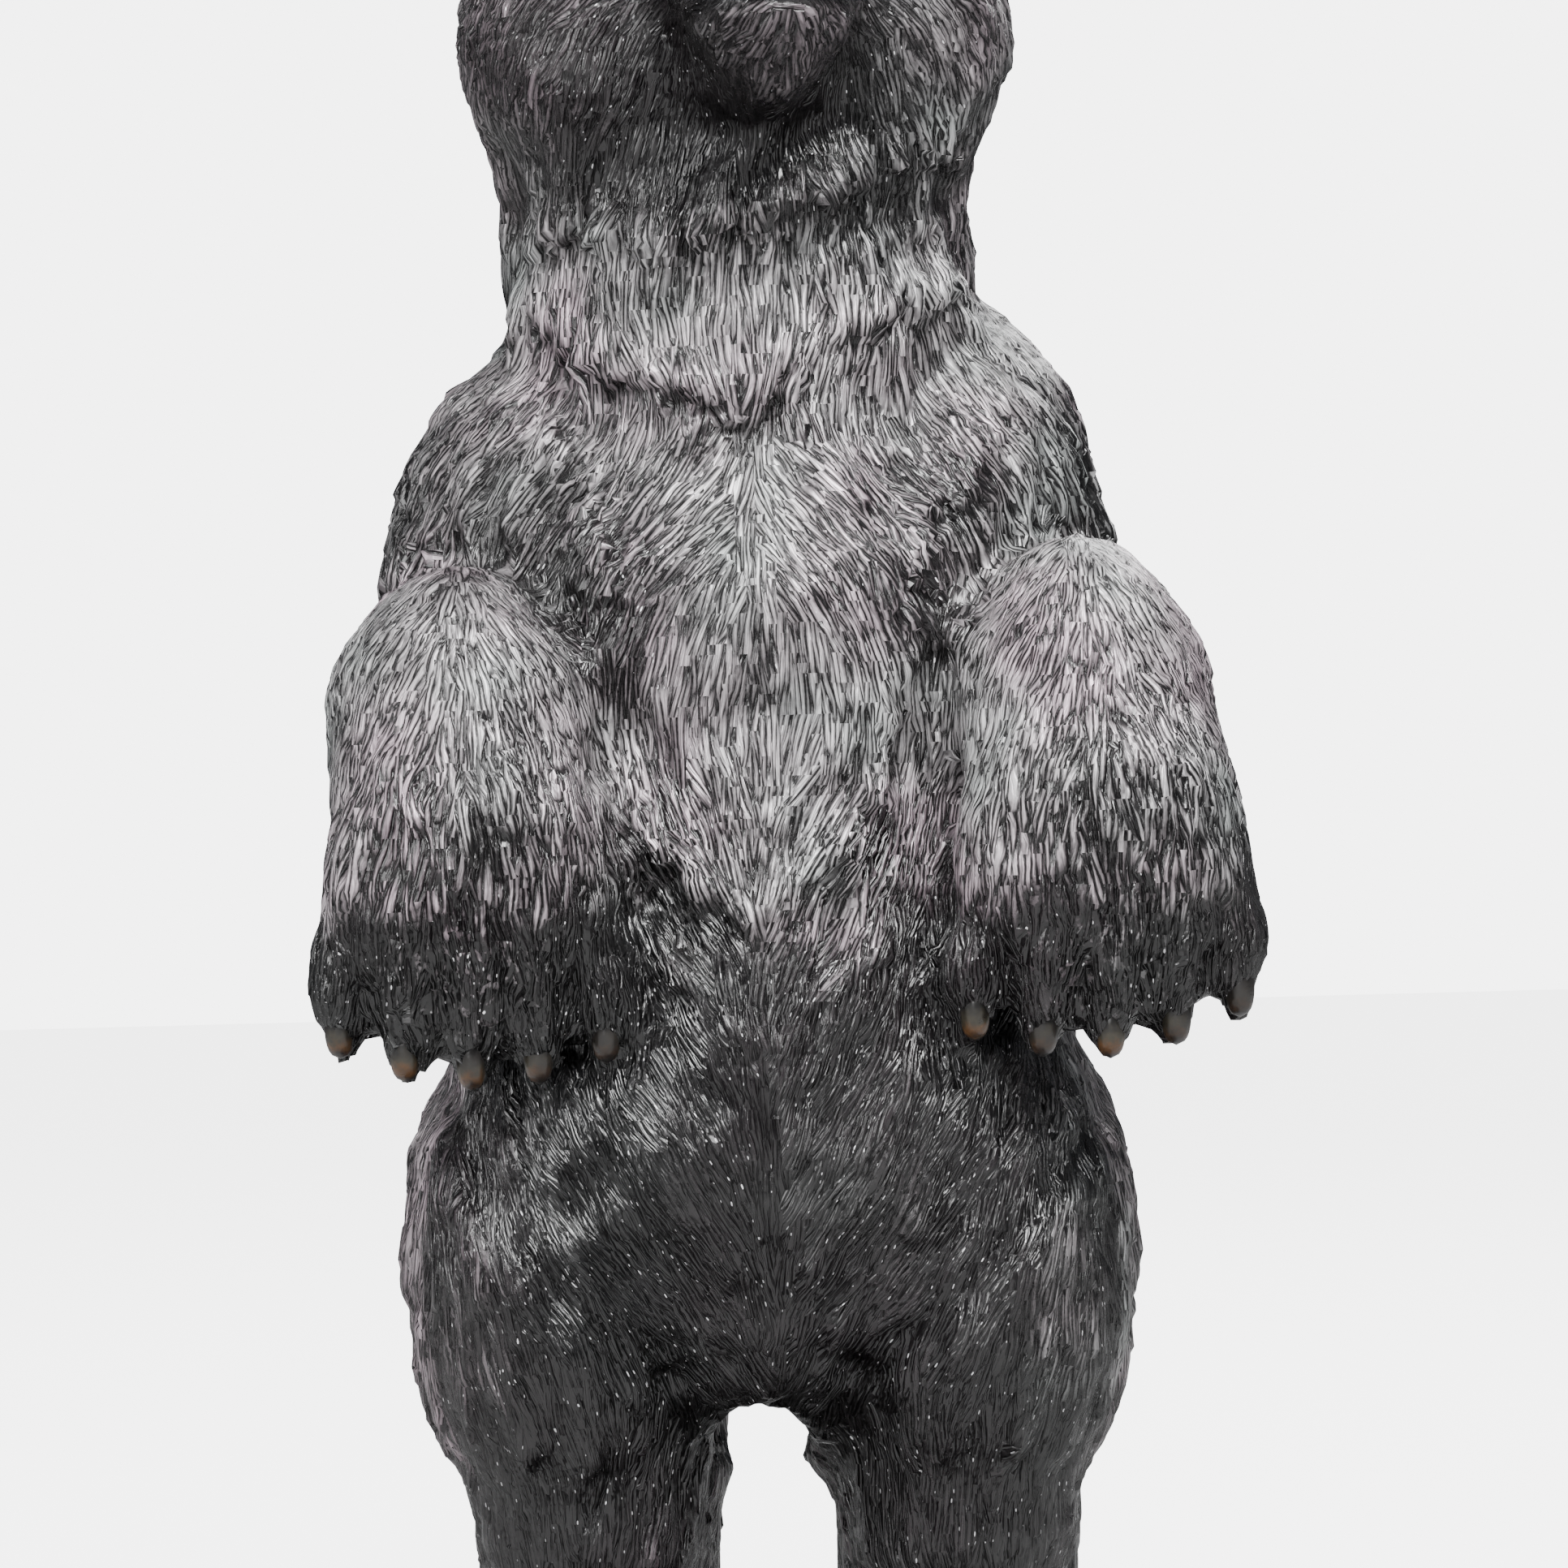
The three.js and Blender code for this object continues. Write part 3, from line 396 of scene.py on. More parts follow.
# height that the ruffs and creases add, mm, and the painted shadow under the ruffs and painted
# shade in the creases, 0 to 1
def raiseForms(points, normals):
    stray = np.array([noise.noise(Vector(p * ragged["stretch"])) for p in points])
    broken = 0.35 + 0.65 * ramp(stray, -0.22, 0.16)
    arms = armShare(points)
    front = frontShare(points, normals) * (1 - arms)
    lift = np.zeros(len(points))
    dark = np.zeros(len(points))
    for height, line in ruffs.values():
        signed, share = alongLine(points, line)
        signed = signed * np.sign(height) + ragged["size"] * stray
        over, under = np.clip(signed, 0, None), np.clip(signed, None, 0)
        above = np.exp(-over / ledgeFade["above"])
        below = -0.55 * np.exp(under / ledgeFade["below"])
        tall = abs(height) * figure["ledgeHeight"]
        lift += np.where(signed > 0, above, below) * tall * share * front
        shade = np.where(signed > 0, np.exp(-over / 0.9), np.exp(under / 3.2))
        dark = np.maximum(dark, shade * broken * share * front * min(1, abs(height) + 0.1))
    for depth, width, line in creases.values():
        signed, share = alongLine(points, line)
        cut = bell(signed, width)
        lift -= depth * cut * share * front
        dark = np.maximum(dark, 0.6 * cut * share * front * min(1, depth / 2))
    for place, reach, depth in slimPlaces:
        lift -= depth * spot(points, place, reach) * arms
    return lift, dark


# middle of a finger, as the casting has it
def fingerAt(arm, index):
    spread = index / (fingersPerPaw - 1) * 2 - 1
    px, py, pz = arm["paw"]
    swing = math.radians(arm["swing"])
    across = spread * fingerSpread
    drop = 7 * spread ** 2
    tilt = across * math.sin(swing) * 0.6
    return px + across * math.cos(swing), py - 5 + drop, pz - 27 + drop + tilt


# grooves between the fingers of both paws, and how far the skin between their tips comes down
def fingerForms(points, normals):
    x, y, z = points.T
    lift = np.zeros(len(points))
    web = np.zeros(len(points))
    for arm in armPose.values():
        px, _, pz = arm["paw"]
        places = np.array([fingerAt(arm, index) for index in range(fingersPerPaw)])
        reach = ramp(-y, 45, 62) * ramp(places[:, 2].mean() + 13 - z, 0, 14)
        reach *= ramp(46 - np.abs(x - px), -2, 4) * ramp(z, 236, 240)
        under = ramp(-normals[:, 2], 0.1, 0.6) * ramp(-y, 55, 62) * (z < pz - 24)
        for left, right in zip(places[:-1], places[1:]):
            middle = (left[0] + right[0]) / 2
            lift -= figure["fingerGroove"] * bell(x - middle, 2.7) * reach
            web += figure["webDepth"] * bell(x - middle, 4.2) * under
        for place in places:
            lift += 0.9 * bell(x - place[0], 4.5) * reach
    return lift, web.clip(0, figure["webDepth"])


# the same points with the small forms smoothed away
def settled(points, mesh, rounds):
    edges = np.empty(len(mesh.edges) * 2, np.int32)
    mesh.edges.foreach_get("vertices", edges)
    edges = edges.reshape(-1, 2)
    share = np.bincount(edges.ravel(), minlength=len(points)).clip(1)
    for _ in range(rounds):
        total = np.zeros_like(points)
        for axis in range(3):
            for here, there in ((0, 1), (1, 0)):
                beside = points[edges[:, there], axis]
                total[:, axis] += np.bincount(edges[:, here], beside, len(points))
        points = total / share[:, None]
    return points


# the same places on a head that looks straight ahead
def unturnedHead(points):
    return (points - np.array(onHead((0, 0, 0)))) @ np.array(headTurn)


# 1 in the nostrils: a round pit each side, drawn out to the wing of the nose
def nostrilForms(points):
    x, y, z = unturnedHead(points).T
    side = np.abs(x)
    pit = np.exp(-((side - 6.6) / 2.7) ** 2 - ((z - 516) / 2.1) ** 2)
    wing = 0.75 * np.exp(-((side - 9.6) / 2.6) ** 2 - ((z - 514.2) / 1.3) ** 2)
    return np.maximum(pit, wing) * ramp(-y, 108, 116)


# the line of the mouth, and the furrow from it up to the nose
def mouthForms(points):
    x, y, z = unturnedHead(points).T
    lips = bell(z - 499.5, 1.9) * ramp(-y, 84, 92)
    furrow = bell(x, 1.5) * ramp(z, 499, 501) * (1 - ramp(z, 506, 509)) * ramp(-y, 108, 114)
    return np.maximum(lips, furrow)


print("figure: ruffs, folds and fingers")
skin = readPoints(bear.data)
skinNormals = readNormals(bear.data)
crisp = ((skin - settled(skin, bear.data, figure["crispRounds"])) * skinNormals).sum(1)
crisp = np.clip(figure["crisper"] * crisp, -3.2, 0.5) * ramp(skin[:, 2], 24, 40)
writePoints(bear.data, skin + skinNormals * crisp[:, None])
skin = readPoints(bear.data)
skinNormals = readNormals(bear.data)
formLift, paintedRuffShade = raiseForms(skin, skinNormals)
fingerLift, web = fingerForms(skin, skinNormals)
mouth = mouthForms(skin)
nostrils = nostrilForms(skin)
lift = formLift + fingerLift - figure["mouthDepth"] * mouth - figure["nostrilDepth"] * nostrils
skin += skinNormals * lift[:, None]
skin[:, 2] -= web
writePoints(bear.data, skin)


# fur locks: each is a leaf-shaped stroke that starts under its neighbours and ends proud

print("fur: laying out the locks")
random = np.random.default_rng(figure["seed"])
skin = readPoints(bear.data)
skinNormals = readNormals(bear.data)


# length and half-width of the locks at these places (mm), and where they are small
def lockSize(points):
    head = headShare(points)
    nose = spot(points, onHead((0, -104, 510)), 38)
    eyes = sum(spot(points, onHead((side * 25, -64, 538)), 15) for side in sides)
    small = np.clip(np.maximum(nose, eyes), 0, 1) * head
    back = ramp(points[:, 1], 20, 60) * (1 - head)
    foot = 1 - ramp(points[:, 2], 36, 60)
    length = 18 + 5 * back - 4 * head - 6 * small - 5 * foot
    half = 3.2 + 0.9 * back - 0.3 * head - 1.0 * small - 0.2 * foot
    return length, half, small


def scatterRoots():
    spacing = figure["lockSpacing"]
    _, _, small = lockSize(skin)
    gaps = spacing * (1 - 0.3 * small)
    steps = (-1, 0, 1)
    cells = {}
    chosen = []
    for index in random.permutation(len(skin)):
        if skin[index, 2] < 20:  # the ground has no fur
            continue
        i, j, k = (skin[index] // spacing).astype(int)
        near = [other for a in steps for b in steps for c in steps
                for other in cells.get((i + a, j + b, k + c), ())]
        if all(((skin[other] - skin[index]) ** 2).sum() >= gaps[index] ** 2 for other in near):
            cells.setdefault((i, j, k), []).append(index)
            chosen.append(index)
    return np.array(chosen)


# the way the hair runs at these points, each lock leaning off it a little
def leaning(index, amount):
    way = combAt(skin[index], skinNormals[index])
    across = unit(np.cross(skinNormals[index], way))
    return unit(way + random.normal(0, amount, len(index))[:, None] * across)


def treeOf(points):
    tree = kdtree.KDTree(len(points))
    for index, point in enumerate(points):
        tree.insert(Vector(point), index)
    tree.balance()
    return tree


roots = scatterRoots()
lockWay = leaning(roots, 0.1)
lockLength, lockHalf, _ = lockSize(skin[roots])
lockLength = lockLength * random.uniform(0.8, 1.25, len(roots))
lockHalf = lockHalf * random.uniform(0.8, 1.3, len(roots))
lockBend = random.normal(0, 0.9, len(roots))
lockRise = random.uniform(0.6, 1.15, len(roots))


# a row of prouder locks along each ruff, their tips hanging over its edge
def ruffLocks():
    front = np.flatnonzero((skinNormals[:, 1] < -0.15) & (skin[:, 1] < -15))
    rows = []
    for height, line in ruffs.values():
        line = [np.array(point, float) for point in line]
        for start, end in zip(line[:-1], line[1:]):
            steps = max(1, round(np.linalg.norm(end - start) / 3.8))
            for step in range(steps):
                x, z = start + (end - start) * (step + random.uniform(0.1, 0.9)) / steps
                gap = (skin[front, 0] - x) ** 2 + (skin[front, 2] - z) ** 2
                near = front[gap < 9]
                if len(near):
                    rows.append((near[skin[near, 1].argmin()], abs(height)))
    edge = np.array([row[0] for row in rows])
    proud = np.array([row[1] for row in rows])
    length = random.uniform(13, 18, len(edge))
    way = combAt(skin[edge], skinNormals[edge])
    behind = way * (length * 0.5 - random.uniform(-1, 6, len(edge)))[:, None]
    tree = treeOf(skin)
    centre = np.array([tree.find(Vector(point))[1] for point in skin[edge] - behind])
    return centre, length, random.uniform(2.4, 3.8, len(edge)), 1.2 + 0.9 * proud


centre, length, half, rise = ruffLocks()
roots = np.concatenate([roots, centre])
lockPlace = skin[roots]
lockNormal = skinNormals[roots]
lockWay = np.concatenate([lockWay, leaning(centre, 0.16)])
lockAcross = unit(np.cross(lockNormal, lockWay))
lockLength = np.concatenate([lockLength, length])
lockHalf = np.concatenate([lockHalf, half])
lockBend = np.concatenate([lockBend, random.normal(0, 0.9, len(centre))])
lockRise = np.concatenate([lockRise, rise])
print("fur:", len(roots), "locks")
lockTree = treeOf(lockPlace)


# height of the fur (mm, 0 in the hollows), and the lock that wins there
def lockField(points, normals):
    count = figure["lockNeighbours"]
    near = np.array([[found[1] for found in lockTree.find_n(Vector(p), count)] for p in points])
    away = points[:, None, :] - lockPlace[near]
    along = (away * lockWay[near]).sum(2)
    across = (away * lockAcross[near]).sum(2)
    depth = (away * lockNormal[near]).sum(2)
    facing = (normals[:, None, :] * lockNormal[near]).sum(2)
    share = along / lockLength[near] + 0.5
    across = across - lockBend[near] * (share - 0.4) ** 2 * 3
    clipped = np.clip(share, 0.001, 0.999)
    wide = lockHalf[near] * np.clip(1.25 * np.sqrt(clipped) * (1 - clipped ** 3.2), 0.02, 1)
    edge = across / wide
    inside = (share > 0) & (share < 1) & (np.abs(edge) < 1)
    inside &= (np.abs(depth) < 9) & (facing > 0.1)
    crown = (1 - np.abs(edge) ** 2.4).clip(0, 1)
    height = lockRise[near] * (0.18 + 0.82 * clipped ** 0.8) * crown ** 0.7
    height = np.where(inside, height, -1)
    best = height.argmax(1)
    rows = np.arange(len(points))
    won = height[rows, best]
    close = np.abs(away).sum(2).argmin(1)
    best = np.where(won >= 0, best, close)
    return np.clip(won, 0, None), near[rows, best]


tuftPlaces = [  # where the locks stand out in chunky tufts: place and reach
    ((-44, -60, 372), 20), ((52, -56, 380), 20), ((-42, -62, 350), 15), ((46, -60, 352), 14),
    ((-1, -72, 404), 12), ((16, -70, 414), 14), ((-20, -70, 408), 14), ((44, -58, 428), 16),
    ((-48, -56, 424), 16), ((-28, -72, 284), 15), ((26, -74, 286), 14), ((-10, -68, 450), 16),
    ((36, -52, 456), 16), ((-74, -94, 290), 26), ((88, -94, 292), 26), ((-74, -98, 260), 28),
    ((88, -98, 264), 28), ((-90, -10, 385), 22), ((92, -10, 388), 22),
]
quietPlaces = [  # where the fur lies smooth
    ((-22, -72, 380), 20), ((24, -72, 382), 22), ((0, -78, 345), 26), ((0, -82, 315), 18),
    ((-74, -84, 345), 26), ((87, -84, 350), 28), ((0, -72, 205), 40),
]


# how strongly the locks stand out here
def lockStrength(points):
    tufts = spots(points, tuftPlaces)
    quiet = spots(points, quietPlaces)
    return np.clip(0.85 + 0.7 * tufts - 0.5 * quiet * (1 - tufts), 0.3, 1.5), tufts


print("fur: carving")
height, _ = lockField(skin, skinNormals)
strength, chunky = lockStrength(skin)
fur = 1 - groundShare(skin)
_, _, small = lockSize(skin)
eyeGap = np.min([np.linalg.norm(skin - np.array(onHead((side * 24.5, -66, 537))), axis=1)
                 for side in sides], axis=0)
noseAway = (skin - np.array(onHead((0, -118, 516)))) / np.array([1.1, 1, 0.9])
bare = ramp(eyeGap, 5, 12) * ramp(np.linalg.norm(noseAway, axis=1), 11, 18)
reach = strength * (1 - 0.5 * small) * bare
relief = figure["lockRelief"] * height - figure["lockSink"]
carved = skin + skinNormals * (reach * relief * fur)[:, None]
ground = groundShare(skin) * ramp(skin[:, 2], 1.5, 5)
rocky = np.array([noise.fractal(Vector(p) * 0.07, 1.0, 2.2, 4) if g > 0.01 else 0
                  for p, g in zip(skin, ground)])
carved += skinNormals * (rocky * 1.9 * ground)[:, None]
carved[:, 2] = np.where(skin[:, 2] < 1.6, 0, np.maximum(carved[:, 2], 0))
writePoints(bear.data, carved)


# each face takes its strands from one lock, so that those of two locks meet in a clean edge
def storeStrands(obj):
    mesh = obj.data
    _, owner = lockField(readCentres(mesh), readVectors(mesh.polygons, "normal"))
    totals = np.empty(len(mesh.polygons), np.int32)
    mesh.polygons.foreach_get("loop_total", totals)
    corners = np.empty(len(mesh.loops), np.int32)
    mesh.loops.foreach_get("vertex_index", corners)
    owner = np.repeat(owner, totals)
    away = readPoints(mesh)[corners] - lockPlace[owner]
    _, tufts = lockStrength(lockPlace)
    coarse = (1 + 0.4 * tufts + 0.25 * ramp(lockPlace[:, 1], 10, 50))[owner]
    long = (1.5 - 0.5 * armShare(lockPlace) - 0.3 * headShare(lockPlace))[owner]
    across = (away * lockAcross[owner]).sum(1) / coarse
    along = (away * lockWay[owner]).sum(1) / coarse / long
    apart = owner * 13.7 % 977, owner * 29.3 % 1277, owner * 3.17 % 97  # each lock its own strands
    vector = np.stack([across + apart[0], along + apart[1], apart[2]], 1)
    layer = mesh.attributes.new("strand", "FLOAT_VECTOR", "CORNER")
    layer.data.foreach_set("vector", vector.astype(np.float32).ravel())


print("fur: strands")
storeStrands(bear)

paintedLightSpots = [  # painted light and shade: lighter or darker by, and the places with their reach
    # painted shadow under the chin
    (-0.64, [((-12, -62, 476), 36), ((16, -60, 482), 28)]),
    # painted shade in the armpits and in the tufts beside the bib
    (-0.42, [((-46, -60, 366), 16), ((56, -55, 382), 14), ((48, -60, 352), 14),
             ((-30, -76, 284), 12), ((-38, -62, 346), 14), ((36, -72, 276), 10)]),
    # painted highlights on the chest, shoulders, neck and forearms
    (0.2, [((26, -72, 378), 24), ((84, -20, 402), 30), ((44, -56, 436), 20),
           ((88, -90, 336), 30), ((-20, -72, 384), 16), ((60, -30, 412), 30),
           ((-76, -86, 322), 22)]),
    # painted shade on the left shoulder and chest
    (-0.14, [((-78, -20, 400), 30), ((-24, -70, 352), 18)]),
    # painted shade round the eyes
    (-0.45, [(onHead((side * 24.5, -68, 537)), 9) for side in sides]),
]
forearmSheenBand = {  # painted highlight: the height of a forearm's brightest band, and how much duller each is painted above it
    "bright": 310, "fade": {-1: 0.16, 1: 0.05},
}


# how much silver the brush left, 0 to 1, with painted light and shade in it: lighter towards the
# top and the bear's left, painted shade on the paws and where the arms meet the body
def silverAndPaintedLight(points):
    x, y, z = points.T
    uneven = np.array([noise.fractal(Vector(p) * 0.045, 1.0, 2.0, 3) for p in points])
    z = z + 7 * uneven
    front = ramp(-y, 0, 40)
    chest = ramp(z, 264, 284) * (1 - ramp(z, 440, 462))
    legs = (1 - ramp(z, 252, 276)) * ramp(z, 15, 30)
    neck = ramp(z, 402, 425) * (1 - ramp(z, 448, 460))
    hips = ramp(np.abs(x), 44, 76) * (1 - ramp(z, 230, 262)) * ramp(z, 120, 150)
    # the front painted lighter towards the bear's left side, as painted light falling from there
    tone = np.full(len(points), 0.6) + 0.2 * uneven + 0.14 * ramp(x, -10, 60) * front
    # chest, neck and outer hips lighter and the legs darker: partly the brushed silver, partly
    # painted light from above and painted shade below
    for gain, share in ((0.22, chest), (-0.5, legs), (0.36, neck), (0.74, hips)):
        tone += front * gain * share
    for gain, places in paintedLightSpots:
        tone += gain * spots(points, places)
    for side, arm in armPose.items():
        px, py, pz = arm["paw"]
        paw = ramp(46 - np.hypot(x - px, (y - py) * 1.2), -4, 3)
        # painted highlight in a band across each forearm, painted duller towards the elbow as
        # shade
        tone += 0.16 * paw * bell(z - forearmSheenBand["bright"], 18)
        tone -= forearmSheenBand["fade"][side] * paw * ramp(z, 330, 362)
        # paws darker: partly darker paint, partly painted shade
        tone -= 0.55 * paw * (1 - ramp(z + 6 * uneven, pz - 8, pz + 8))
    arms = armShare(points)
    # painted shade where the arms meet the body
    tone -= 0.3 * front * (4 * arms * (1 - arms)) ** 0.5
    return tone.clip(0.04, 1)


# darker in the creases and lighter on the crests of the form: partly dry-brushed silver, partly
# painted shade
crest = ((carved - settled(carved, bear.data, 26)) * skinNormals).sum(1)
# painted shadow under the ruffs and painted shade in the creases, and the darker mouth line
tone = silverAndPaintedLight(skin) + 0.14 * np.clip(crest / 2.2, -1, 1) - 0.35 * paintedRuffShade - 0.6 * mouth
# painted shade in the grooves between the fingers, lighter on the fingers
tone += 0.12 * np.clip(fingerLift, -3, 0.9)
storeValues(bear.data, "furHeight", height * fur * bare)
# the silver attribute holds the brushed silver together with the painted light and shade
storeValues(bear.data, "silver", tone.clip(0, 1))
storeValues(bear.data, "tuft", chunky)


clawShape = {"paw": (4.7, 14.6), "foot": (4.6, 18), "sides": 14, "rings": 9}  # radius and length
noseShape = {"middle": (0, -117, 517), "size": (14.5, 11, 10.5)}
eyeShape = {"across": 24.5, "forward": -67, "height": 537, "radius": 5.4,
            "lidRadius": 5.9, "upperCut": 2.7, "lowerCut": 4.0}


# a pointed horn: a cone swelled, flattened and bent
def placeClaw(name, root, out, bend, radius, length):
    clearSelection()
    bpy.ops.mesh.primitive_cone_add(vertices=clawShape["sides"], radius1=1, radius2=1, depth=1,
                                    end_fill_type="TRIFAN")
    claw = bpy.context.object
    claw.name = name
    editAll(claw)
    bpy.ops.mesh.bisect(plane_co=(0, 0, 0), plane_no=(0, 0, 1))
    for cut in range(1, clawShape["rings"]):
        bpy.ops.mesh.select_all(action="SELECT")
        bpy.ops.mesh.bisect(plane_co=(0, 0, cut / clawShape["rings"] - 0.5), plane_no=(0, 0, 1))
    leaveEdit()
    points = readPoints(claw.data) * mm
    share = points[:, 2] + 0.5
    forward = unit(np.array(out, float))
    side = unit(np.cross(np.array(bend, float), forward))
    inward = np.cross(forward, side)
    width = radius * np.clip(1 - share ** 3.6, 0.0004, 1) ** 0.55
    shaped = (
        np.array(root)
        + forward * (share * length * (1 - 0.15 * share ** 2))[:, None]
        + inward * (points[:, 0] * width + 0.22 * length * share ** 2)[:, None]
        + side * (points[:, 1] * width * 0.82)[:, None]
    )
    writePoints(claw.data, shaped)
    storeValues(claw.data, "clawShare", share)
    editAll(claw)
    bpy.ops.mesh.normals_make_consistent(inside=False)
    leaveEdit()
    return claw


def allClaws():
    paws = [np.array(fingerAt(arm, index)) - (0, 5.5, 7)
            for arm in armPose.values() for index in range(fingersPerPaw)]
    footX, footY, footZ = footPose
    feet = [(side * footX + spread * 27, footY - 63 + 12 * spread ** 2, footZ - 3.5)
            for side in sides for spread in (-1, -0.5, 0, 0.5, 1)]
    rows = (("claw", clawShape["paw"], paws, (0, -0.12, -1), (0, 1, 0)),
            ("toe", clawShape["foot"], feet, (0, -1, -0.1), (0, 0, -1)))
    return [placeClaw(f"{name}{index}", place, out, bend, *size)
            for name, size, places, out, bend in rows for index, place in enumerate(places)]


def addBall(place, radius):
    clearSelection()
    bpy.ops.mesh.primitive_uv_sphere_add(segments=28, ring_count=16, radius=radius * mm,
                                         location=place)
    bpy.ops.object.transform_apply(location=True, rotation=True, scale=True)
    return bpy.context.object


def eyeAt(side, back):
    place = (side * eyeShape["across"], eyeShape["forward"] + back, eyeShape["height"])
    return onHead(place) * mm


# upper and lower lid: a slightly wider ball over each eye, cut back to leave it looking out
def eyelids():
    lids = []
    for side in sides:
        place = eyeAt(side, 0.6)
        for cut, away in (("upperCut", (side * 0.25, 0.35, -1)), ("lowerCut", (0, 0.45, 1))):
            lid = addBall(place, eyeShape["lidRadius"])
            normal = Vector(away).normalized()
            editAll(lid)
            bpy.ops.mesh.bisect(plane_co=place - normal * eyeShape[cut] * mm, plane_no=normal,
                                use_fill=True, clear_outer=True)
            leaveEdit()
            lids.append(lid)
    return lids


print("claws and eyes")
claws = allClaws()
eyes = [addBall(eyeAt(side, 0), eyeShape["radius"]) for side in sides]
lids = eyelids()

def newMaterial(name):
    material = bpy.data.materials.new(name)
    material.use_nodes = True
    tree = material.node_tree
    tree.nodes.clear()
    output = tree.nodes.new("ShaderNodeOutputMaterial")
    shader = tree.nodes.new("ShaderNodeBsdfPrincipled")
    tree.links.new(shader.outputs[0], output.inputs[0])
    return material, tree, shader


def plug(tree, value, socket):
    if isinstance(value, bpy.types.NodeSocket):
        tree.links.new(value, socket)
    else:
        socket.default_value = value


# inputs are named or numbered, and hold a value or another node's output
def addNode(tree, kind, inputs=None, **settings):
    node = tree.nodes.new("ShaderNode" + kind)
    for name, value in settings.items():
        setattr(node, name, value)
    for key, value in (inputs or {}).items():
        plug(tree, value, node.inputs[key])
    return node


def calc(tree, operation, *values, clamp=False):
    inputs = dict(enumerate(values))
    return addNode(tree, "Math", inputs, operation=operation, use_clamp=clamp).outputs[0]


def times(tree, a, b, clamp=False):
    return calc(tree, "MULTIPLY", a, b, clamp=clamp)


def minus(tree, a, b, clamp=False):
    return calc(tree, "SUBTRACT", a, b, clamp=clamp)


def scaleAdd(tree, value, gain, base, clamp=False):
    return calc(tree, "MULTIPLY_ADD", value, gain, base, clamp=clamp)


def smoothStep(tree, value, low, high):
    inputs = {"Value": value, "From Min": low, "From Max": high}
    node = addNode(tree, "MapRange", inputs, interpolation_type="SMOOTHSTEP")
    return node.outputs["Result"]


def noiseOf(tree, vector, scale, detail, roughness=0.5):
    inputs = {"Vector": vector, "Scale": scale, "Detail": detail, "Roughness": roughness}
    return addNode(tree, "TexNoise", inputs).outputs["Fac"]


def stretched(tree, vector, scale, shift=(0, 0, 0)):
    inputs = {0: vector, 1: scale, 2: shift}
    return addNode(tree, "VectorMath", inputs, operation="MULTIPLY_ADD").outputs[0]


def attributeOf(tree, name, output="Fac"):
    return addNode(tree, "Attribute", attribute_name=name).outputs[output]


def objectPlace(tree):
    return addNode(tree, "TexCoord").outputs["Object"]


def splitColour(tree, colour):
    return addNode(tree, "SeparateColor", {"Color": colour}).outputs


def rampNode(tree, value, stops):
    node = addNode(tree, "ValToRGB", {0: value})
    points = node.color_ramp.elements
    while len(points) < len(stops):
        points.new(0.5)
    for point, (position, colour) in zip(points, stops):
        point.position = position
        point.color = (*colour, 1)
    return node.outputs[0]


def mixColour(tree, factor, a, b, blend="MIX"):
    node = addNode(tree, "Mix", data_type="RGBA", blend_type=blend)
    for index, value in ((0, factor), (6, a), (7, b)):
        plug(tree, (*value, 1) if isinstance(value, tuple) else value, node.inputs[index])
    return node.outputs[2]


def finishSurface(tree, shader, colour, rough, lift, strength, depth):
    tree.links.new(colour, shader.inputs["Base Color"])
    tree.links.new(rough, shader.inputs["Roughness"])
    bump = addNode(tree, "Bump", {"Height": lift, "Strength": strength, "Distance": depth * mm})
    tree.links.new(bump.outputs[0], shader.inputs["Normal"])


def newGroup(name, inputs, outputs):
    group = bpy.data.node_groups.new(name, "ShaderNodeTree")
    group.interface.new_socket(name="Place", in_out="INPUT", socket_type="NodeSocketVector")
    number = "NodeSocketFloat"
    for label, value in inputs.items():
        socket = group.interface.new_socket(name=label, in_out="INPUT", socket_type=number)
        socket.default_value = value
    for label in outputs:
        group.interface.new_socket(name=label, in_out="OUTPUT", socket_type=number)
    start, end = group.nodes.new("NodeGroupInput"), group.nodes.new("NodeGroupOutput")
    return group, start.outputs, end.inputs


# fine grain and broad patches of the paint
def grainGroup():
    group, given, result = newGroup("paintGrain", {"Grain Scale": 900.0, "Patch Scale": 16.0},
                                    ["Grain", "Patch"])
    for label, detail in (("Grain", 2.0), ("Patch", 3.0)):
        scale = given[label + " Scale"]
        group.links.new(noiseOf(group, given["Place"], scale, detail, 0.6), result[label])
    return group


# painted glints: bright specks that stand for glints of light on the lacquer; Share is the part of
# the cells that carry one
def glintGroup():
    group, given, result = newGroup("lacquerFlecks", {"Scale": 420.0, "Share": 0.15}, ["Fleck"])
    cells = addNode(group, "TexVoronoi", {"Vector": given["Place"], "Scale": given["Scale"]})
    chance, size, _ = splitColour(group, cells.outputs["Color"])
    small = calc(group, "LESS_THAN", cells.outputs["Distance"], scaleAdd(group, size, 0.1, 0.055))
    chosen = calc(group, "LESS_THAN", chance, given["Share"])
    group.links.new(times(group, small, chosen), result["Fleck"])
    return group


paintGrain = grainGroup()
lacquerFlecks = glintGroup()
# colour of the painted glints
glintWhite = (0.8, 0.79, 0.81)


def grainAndPatch(tree, place, grainScale, patchScale):
    inputs = {"Place": place, "Grain Scale": grainScale, "Patch Scale": patchScale}
    return addNode(tree, "Group", inputs, node_tree=paintGrain).outputs


def addFlecks(tree, colour, place, scale, share, strength):
    inputs = {"Place": place, "Scale": scale, "Share": share}
    glint = addNode(tree, "Group", inputs, node_tree=lacquerFlecks).outputs["Fleck"]
    return mixColour(tree, times(tree, glint, strength), colour, glintWhite)


